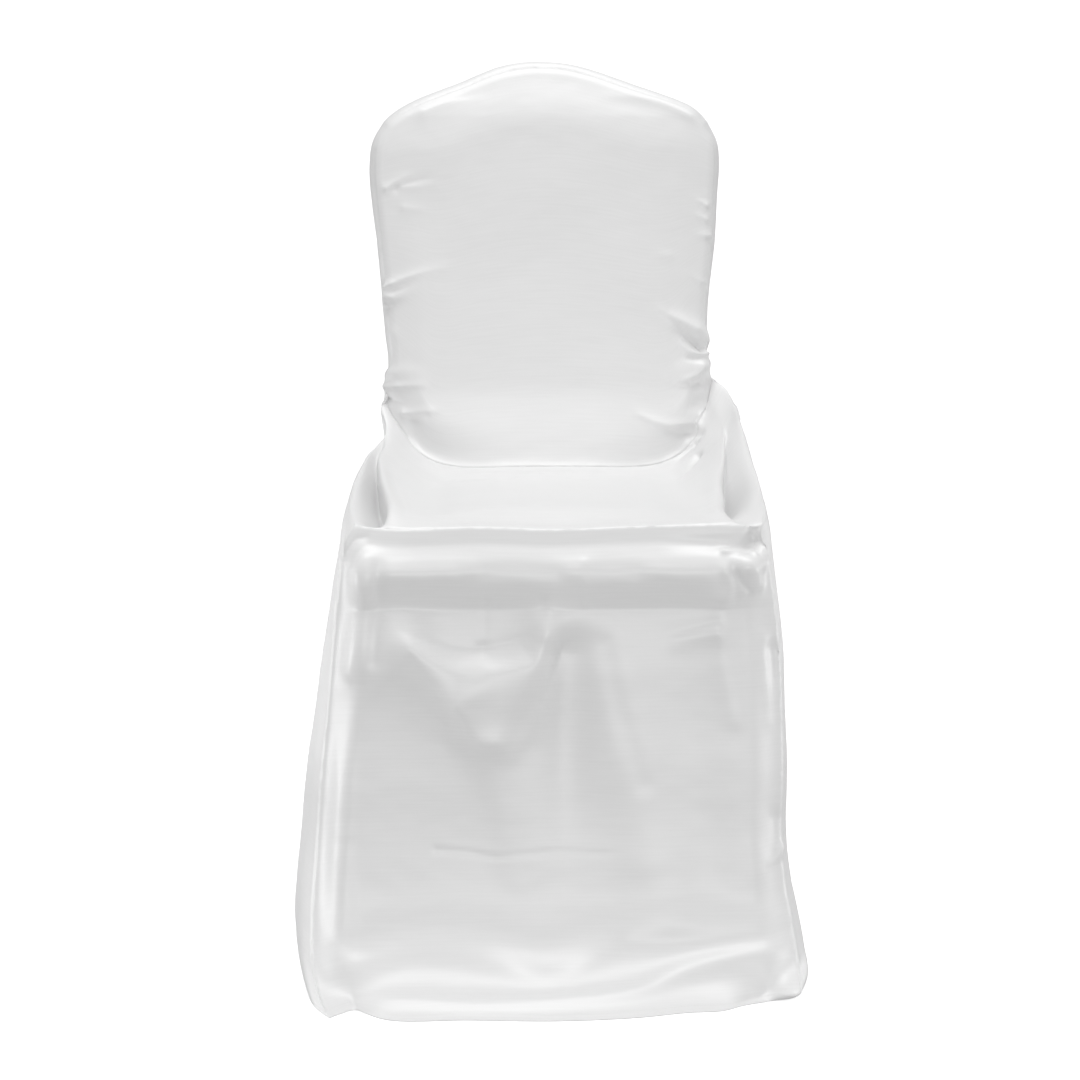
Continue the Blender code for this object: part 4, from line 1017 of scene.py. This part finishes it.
@dataclass(frozen=True)
class Thread:
    """White polyester sewing thread, a little uneven from its twist.

    Attributes:
        name: The material's name.
        white: Its colour.
        roughness: How far a highlight spreads.
        twist: Length of one turn of its strands.
    """

    name: str = "white_thread"
    white: tuple[float, float, float] = (0.80, 0.80, 0.80)
    roughness: float = 0.5
    twist: float = 0.0006

    def material(self) -> bpy.types.Material:
        """The finished material."""
        made = bpy.data.materials.new(self.name)
        made.use_nodes = True
        tree = made.node_tree
        shader = tree.nodes["Principled BSDF"]
        shader.inputs["Base Color"].default_value = (*self.white, 1)
        place = node(tree, "ShaderNodeTexCoord")
        strands = node(tree, "ShaderNodeTexNoise", {"Scale": 1 / self.twist})
        gloss = node(tree, "ShaderNodeMapRange",
                     {"To Min": self.roughness - 0.08, "To Max": self.roughness + 0.08})
        joined(tree, (place, "Object", strands, "Vector"), (strands, "Fac", gloss, "Value"),
               (gloss, "Result", shader, "Roughness"))
        return made


@dataclass
class HemStitching:
    """The row of machine stitches that holds a hem.

    Attributes:
        rise: How far the row runs above the hem's edge, along the cloth.
        pitch: From one stitch to the next.
        length: Of one stitch.
        width: Of its thread.
        seed: Of the small differences in length.
    """

    rise: float = 0.013
    pitch: float = 0.0033
    length: float = 0.0026
    width: float = 0.0005
    seed: int = 4

    def path(self, grid: Points) -> Points:
        """The line of the stitches above the last row of a grid."""
        rows = grid[::-1]
        above = np.cumsum(np.linalg.norm(np.diff(rows, axis=0, prepend=rows[:1]), axis=2), axis=0)
        return np.array([[np.interp(self.rise, above[:, column], rows[:, column, axis])
                          for axis in range(3)] for column in range(grid.shape[1])])

    def paths(self, grids: list[Points]) -> list[Points]:
        """The lines of a panel: above its hem, and on round both ends of a strip."""
        lines = [self.path(grids[-1])]
        for strip in grids[:-1]:
            ends = strip.transpose(1, 0, 2)
            lines += [self.path(ends), self.path(ends[::-1])]
        return lines

    def tree(self) -> bpy.types.NodeTree:
        """The nodes that set a stitch at each pitch of a line."""
        tree = bpy.data.node_groups.new("hem_stitching", "GeometryNodeTree")
        sockets = tree.interface
        sockets.new_socket("Line", in_out="INPUT", socket_type="NodeSocketGeometry")
        for name in ("Pitch", "Length", "Width"):
            sockets.new_socket(name, in_out="INPUT", socket_type="NodeSocketFloat")
        sockets.new_socket("Seed", in_out="INPUT", socket_type="NodeSocketInt")
        sockets.new_socket("Thread", in_out="INPUT", socket_type="NodeSocketMaterial")
        sockets.new_socket("Stitches", in_out="OUTPUT", socket_type="NodeSocketGeometry")
        given, result = node(tree, "NodeGroupInput"), node(tree, "NodeGroupOutput")
        line = node(tree, "GeometryNodeMeshToCurve")
        holes = node(tree, "GeometryNodeCurveToPoints", mode="LENGTH")
        bead = node(tree, "GeometryNodeMeshUVSphere", {"Segments": 6, "Rings": 4, "Radius": 0.5})
        size = node(tree, "ShaderNodeCombineXYZ")
        drawn = node(tree, "GeometryNodeTransform")
        uneven = node(tree, "FunctionNodeRandomValue", {2: 0.85, 3: 1.08})
        stretch = node(tree, "ShaderNodeCombineXYZ", {"X": 1.0, "Y": 1.0})
        sewn = node(tree, "GeometryNodeInstanceOnPoints")
        real = node(tree, "GeometryNodeRealizeInstances")
        coated = node(tree, "GeometryNodeSetMaterial")
        joined(tree, (given, "Line", line, "Mesh"), (line, "Curve", holes, "Curve"),
               (given, "Pitch", holes, "Length"), (given, "Width", size, "X"),
               (given, "Width", size, "Y"), (given, "Length", size, "Z"),
               (bead, "Mesh", drawn, "Geometry"), (size, "Vector", drawn, "Scale"),
               (given, "Seed", uneven, "Seed"), (uneven, 1, stretch, "Z"),
               (holes, "Points", sewn, "Points"), (drawn, "Geometry", sewn, "Instance"),
               (holes, "Rotation", sewn, "Rotation"), (stretch, "Vector", sewn, "Scale"),
               (sewn, "Instances", real, "Geometry"), (real, "Geometry", coated, "Geometry"),
               (given, "Thread", coated, "Material"), (coated, "Geometry", result, "Stitches"))
        return tree

    def build(self, name: str, grids: list[Points], tree: bpy.types.NodeTree,
              thread: bpy.types.Material) -> bpy.types.Object:
        """The stitches of one panel's hem.

        Args:
            name: The panel's name.
            grids: Its points as it hangs.
            tree: The nodes that set the stitches.
            thread: Their material.

        Returns:
            The stitches as one plain mesh.
        """
        lines = self.paths(grids)
        ends = np.cumsum([0] + [len(line) for line in lines])
        edges = [(at, at + 1) for start, end in zip(ends, ends[1:]) for at in range(start, end - 1)]
        mesh = bpy.data.meshes.new(name + "_hem_stitches")
        mesh.from_pydata((np.concatenate(lines) - ORIGIN).tolist(), edges, [])
        stitches = bpy.data.objects.new(mesh.name, mesh)
        bpy.context.scene.collection.objects.link(stitches)
        sewing = stitches.modifiers.new("sewing", "NODES")
        sewing.node_group = tree
        wanted = {"Pitch": self.pitch, "Length": self.length, "Width": self.width,
                  "Seed": self.seed, "Thread": thread}
        for socket in tree.interface.items_tree:
            if socket.name in wanted:
                sewing[socket.identifier] = wanted[socket.name]
        plain = bpy.data.meshes.new_from_object(
            stitches.evaluated_get(bpy.context.evaluated_depsgraph_get()))
        stitches.modifiers.remove(sewing)
        plain.shade_smooth()
        stitches.data = plain
        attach(stitches, "root")
        return stitches


@dataclass
class ClothPanel:
    """One panel of the cover as a thin sheet.

    Attributes:
        name: Which panel it is.
        flat: Its width and length when cut; not used.
        held: How it is held; not used.
        rests_on: What carries it.
        thickness: Of the cloth.
    """

    name: PanelName
    flat: tuple[float, float]
    held: str
    rests_on: tuple[str, ...]
    thickness: float = 0.0009

    @staticmethod
    def cloth_map(grid: Points, offset: float) -> Points:
        """Each grid point's place on the flat cloth, in metres."""
        wide = np.linalg.norm(np.diff(grid, axis=1), axis=2).mean(axis=0)
        high = np.linalg.norm(np.diff(grid, axis=0), axis=2).mean(axis=1)
        u = np.concatenate([[0], np.cumsum(wide)]) + offset
        v = np.concatenate([[0], np.cumsum(high)])
        return np.stack(np.broadcast_arrays(u[None, :], v[:, None]), axis=-1)

    def build(self, grids: list[Points], satin: bpy.types.Material) -> bpy.types.Object:
        """The panel's object.

        Args:
            grids: Its points as it hangs.
            satin: Its material.

        Returns:
            The finished sheet, dressed and placed in the frame.
        """
        corners = Drape.quads(self.name, grids)
        if len(grids) > 1:
            corners = self.meeting(grids[0], corners)
        points, index = Drape.weld(grids)
        mesh = bpy.data.meshes.new(self.name.value + "_cloth")
        mesh.from_pydata((points - ORIGIN).tolist(), [], [index[list(face)].tolist() for face in corners])
        flat = np.concatenate([self.cloth_map(grid, 2.0 * number).reshape(-1, 2)
                               for number, grid in enumerate(grids)])
        layer = mesh.uv_layers.new(name="cloth")
        layer.data.foreach_set("uv", flat[np.concatenate(corners)].ravel())
        mesh.shade_smooth()
        mesh.materials.append(satin)
        sheet = bpy.data.objects.new(self.name.value + "_cloth", mesh)
        bpy.context.scene.collection.objects.link(sheet)
        self.thicken(sheet)
        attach(sheet, "root")
        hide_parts(self.name.value)
        return sheet

    @staticmethod
    def meeting(strip: Points, corners: Points) -> list[Sequence[int]]:
        """The faces of a fine strip whose last row meets a sheet that is half as fine."""
        rows, columns = strip.shape[:2]
        last, end = (rows - 2) * (columns - 1), (rows - 1) * (columns - 1)
        faces = [tuple(face) for face in corners[:last]]
        for near, far in zip(corners[last:end:2], corners[last + 1:end:2]):
            edge = [number for number in (*near, *far) if number // columns == rows - 2]
            outer = [number for number in (*near, *far) if number // columns == rows - 1]
            ring = sorted(set(edge)) + [max(outer), min(outer)]
            turned = list(near).index(min(edge)) - list(near).index(min(edge) + 1)
            faces.append(tuple(ring if turned in (-1, 3) else ring[::-1]))
        return faces + [tuple(face) for face in corners[end:]]

    def thicken(self, sheet: bpy.types.Object) -> None:
        """Gives the sheet its thickness, inwards."""
        shell = sheet.modifiers.new("thickness", "SOLIDIFY")
        shell.thickness = self.thickness
        shell.offset = -1
        solid = bpy.data.meshes.new_from_object(
            sheet.evaluated_get(bpy.context.evaluated_depsgraph_get()))
        sheet.modifiers.remove(shell)
        solid.set_sharp_from_angle(angle=1.1)
        sheet.data = solid
        solid.name = sheet.name

    def declare(self, sheet: bpy.types.Object, pieces: Sequence[bpy.types.Object] = ()) -> None:
        """Takes the sheet and its pieces, and does nothing with them."""


@dataclass
class Studio:
    """A white floor, soft light and the camera.

    Attributes:
        sight: Where the camera stands and how it sees.
        reach: How far the floor runs to the front and the sides.
        sweep_from: Where it begins to rise at the rear.
        sweep: Radius of that bend.
        top: Height of the backdrop.
    """

    sight: Sight = field(default_factory=Sight)
    reach: float = 6.0
    sweep_from: float = 2.4
    sweep: float = 1.2
    top: float = 5.0

    def camera(self) -> bpy.types.Object:
        """The camera that sees the cover as the photo does."""
        lens = bpy.data.cameras.new("camera")
        lens.lens = self.sight.focal * lens.sensor_width / self.sight.width
        made = bpy.data.objects.new("camera", lens)
        bpy.context.scene.collection.objects.link(made)
        made.location = Vector(self.sight.stand) - Vector(ORIGIN)
        made.rotation_euler = self.sight.ahead().to_track_quat("-Z", "Y").to_euler()
        bpy.context.scene.camera = made
        return made

    def light(self, name: str, place: tuple[float, float, float], size: tuple[float, float],
              power: float, aim: tuple[float, float, float], cone: float = 180) -> bpy.types.Object:
        """A soft rectangular light, placed and aimed in the chair's axes."""
        lamp = bpy.data.lights.new(name, "AREA")
        lamp.shape = "RECTANGLE"
        lamp.size, lamp.size_y = size
        lamp.energy = power
        lamp.spread = np.radians(cone)
        made = bpy.data.objects.new(name, lamp)
        bpy.context.scene.collection.objects.link(made)
        made.location = Vector(place) - Vector(ORIGIN)
        ahead = Vector(aim) - Vector(place)
        made.rotation_euler = ahead.to_track_quat("-Z", "Y").to_euler()
        return made

    def floor(self) -> bpy.types.Object:
        """A pale floor that sweeps up into the backdrop."""
        shape = bmesh.new()
        profile = [(-self.reach, 0.0), (self.sweep_from, 0.0)]
        profile += [(self.sweep_from + self.sweep * np.sin(a), self.sweep - self.sweep * np.cos(a))
                    for a in np.linspace(0.1, np.pi / 2, 12)]
        profile += [(self.sweep_from + self.sweep, self.top)]
        left, right = ([shape.verts.new(Vector((x, y, z)) - Vector(ORIGIN)) for y, z in profile]
                       for x in (-self.reach, self.reach))
        for index in range(len(profile) - 1):
            face = shape.faces.new((left[index], right[index], right[index + 1], left[index + 1]))
            face.smooth = True
        mesh = bpy.data.meshes.new("floor")
        shape.to_mesh(mesh)
        shape.free()
        white = bpy.data.materials.new("pale_floor")
        white.use_nodes = True
        shader = white.node_tree.nodes["Principled BSDF"]
        shader.inputs["Base Color"].default_value = (0.92, 0.92, 0.92, 1)
        shader.inputs["Roughness"].default_value = 0.9
        shader.inputs["Emission Color"].default_value = (1, 1, 1, 1)
        shader.inputs["Emission Strength"].default_value = 0.55
        mesh.materials.append(white)
        made = bpy.data.objects.new("floor", mesh)
        made.visible_diffuse = False
        made.visible_glossy = False
        bpy.context.scene.collection.objects.link(made)
        return made

    def build(self) -> None:
        """Sets the stage."""
        floor = self.floor()
        lights = [
            self.light("top_light", (0.0, -0.2, 4.2), (3.0, 2.2), 76, (0, 0.2, 0.4)),
            self.light("rear_light", (0.0, 1.8, 3.6), (4.0, 1.6), 7, (0, 0.2, 0.6)),
            self.light("high_light", (-0.2, -2.7, 2.9), (1.0, 0.6), 8, (0, 0.0, 0.4)),
            self.light("low_light", (0.3, -3.0, 0.3), (1.8, 0.5), 18, (0, 0.0, 0.3)),
            self.light("left_light", (-1.7, 0.05, 0.14), (0.5, 0.5), 0.9, (-0.25, 0.0, 0.18), 60),
            self.light("right_light", (1.7, 0.00, 0.14), (0.5, 0.5), 0.7, (0.24, 0.0, 0.22), 60),
            self.light("left_rim", (-1.3, 1.2, 0.35), (0.7, 0.6), 3, (-0.26, 0.1, 0.25)),
            self.light("right_rim", (1.4, 1.2, 0.35), (0.7, 0.6), 2, (0.24, 0.1, 0.25)),
        ]
        world = bpy.data.worlds.new("soft_white")
        world.use_nodes = True
        world.node_tree.nodes["Background"].inputs["Color"].default_value = (1, 1, 1, 1)
        world.node_tree.nodes["Background"].inputs["Strength"].default_value = 0.48
        bpy.context.scene.world = world
        bpy.context.scene.view_settings.view_transform = "Standard"
        self.camera()


@dataclass
class ChairCover:
    """The whole cover: its pattern, its drape and its six panels."""

    pattern: Pattern = field(default_factory=Pattern)
    drape: Drape = field(default_factory=Drape)
    satin: Satin = field(default_factory=Satin)
    thread: Thread = field(default_factory=Thread)
    stitching: HemStitching = field(default_factory=HemStitching)
    panels: tuple[ClothPanel, ...] = (
        ClothPanel(PanelName.INSIDE_BACK, (0.42, 0.48), "stretched", ("the chair's back",)),
        ClothPanel(PanelName.SEAT, (0.53, 0.42), "stretched", ("the chair's seat",)),
        ClothPanel(PanelName.FRONT, (0.51, 0.56), "hung", ("the chair's seat", "the floor")),
        ClothPanel(PanelName.LEFT, (0.50, 0.56), "hung", ("the chair's seat", "the floor")),
        ClothPanel(PanelName.RIGHT, (0.50, 0.56), "hung", ("the chair's seat", "the floor")),
        ClothPanel(PanelName.BACK, (0.69, 0.96), "hung", ("the chair's back", "the floor")),
    )

    def build(self) -> list[bpy.types.Object]:
        """Every piece of the cover."""
        hung = self.drape.drape(self.pattern.sewn())
        cloth, thread, tree = self.satin.material(), self.thread.material(), self.stitching.tree()
        made = []
        for panel in self.panels:
            grids = hung[panel.name]
            pieces = [panel.build(grids, cloth)]
            if "the floor" in panel.rests_on:
                pieces.append(self.stitching.build(panel.name.value, grids, tree, thread))
            panel.declare(pieces[0], pieces[1:])
            for piece in pieces:
                LOG.info("%s: %d faces", piece.name, len(piece.data.polygons))
            made += pieces
        return made


def main() -> None:
    """Builds the cover and its stage."""
    logging.basicConfig(level=logging.INFO, format="%(message)s")
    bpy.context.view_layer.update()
    ChairCover().build()
    Studio().build()


if __name__ == "__main__":
    main()
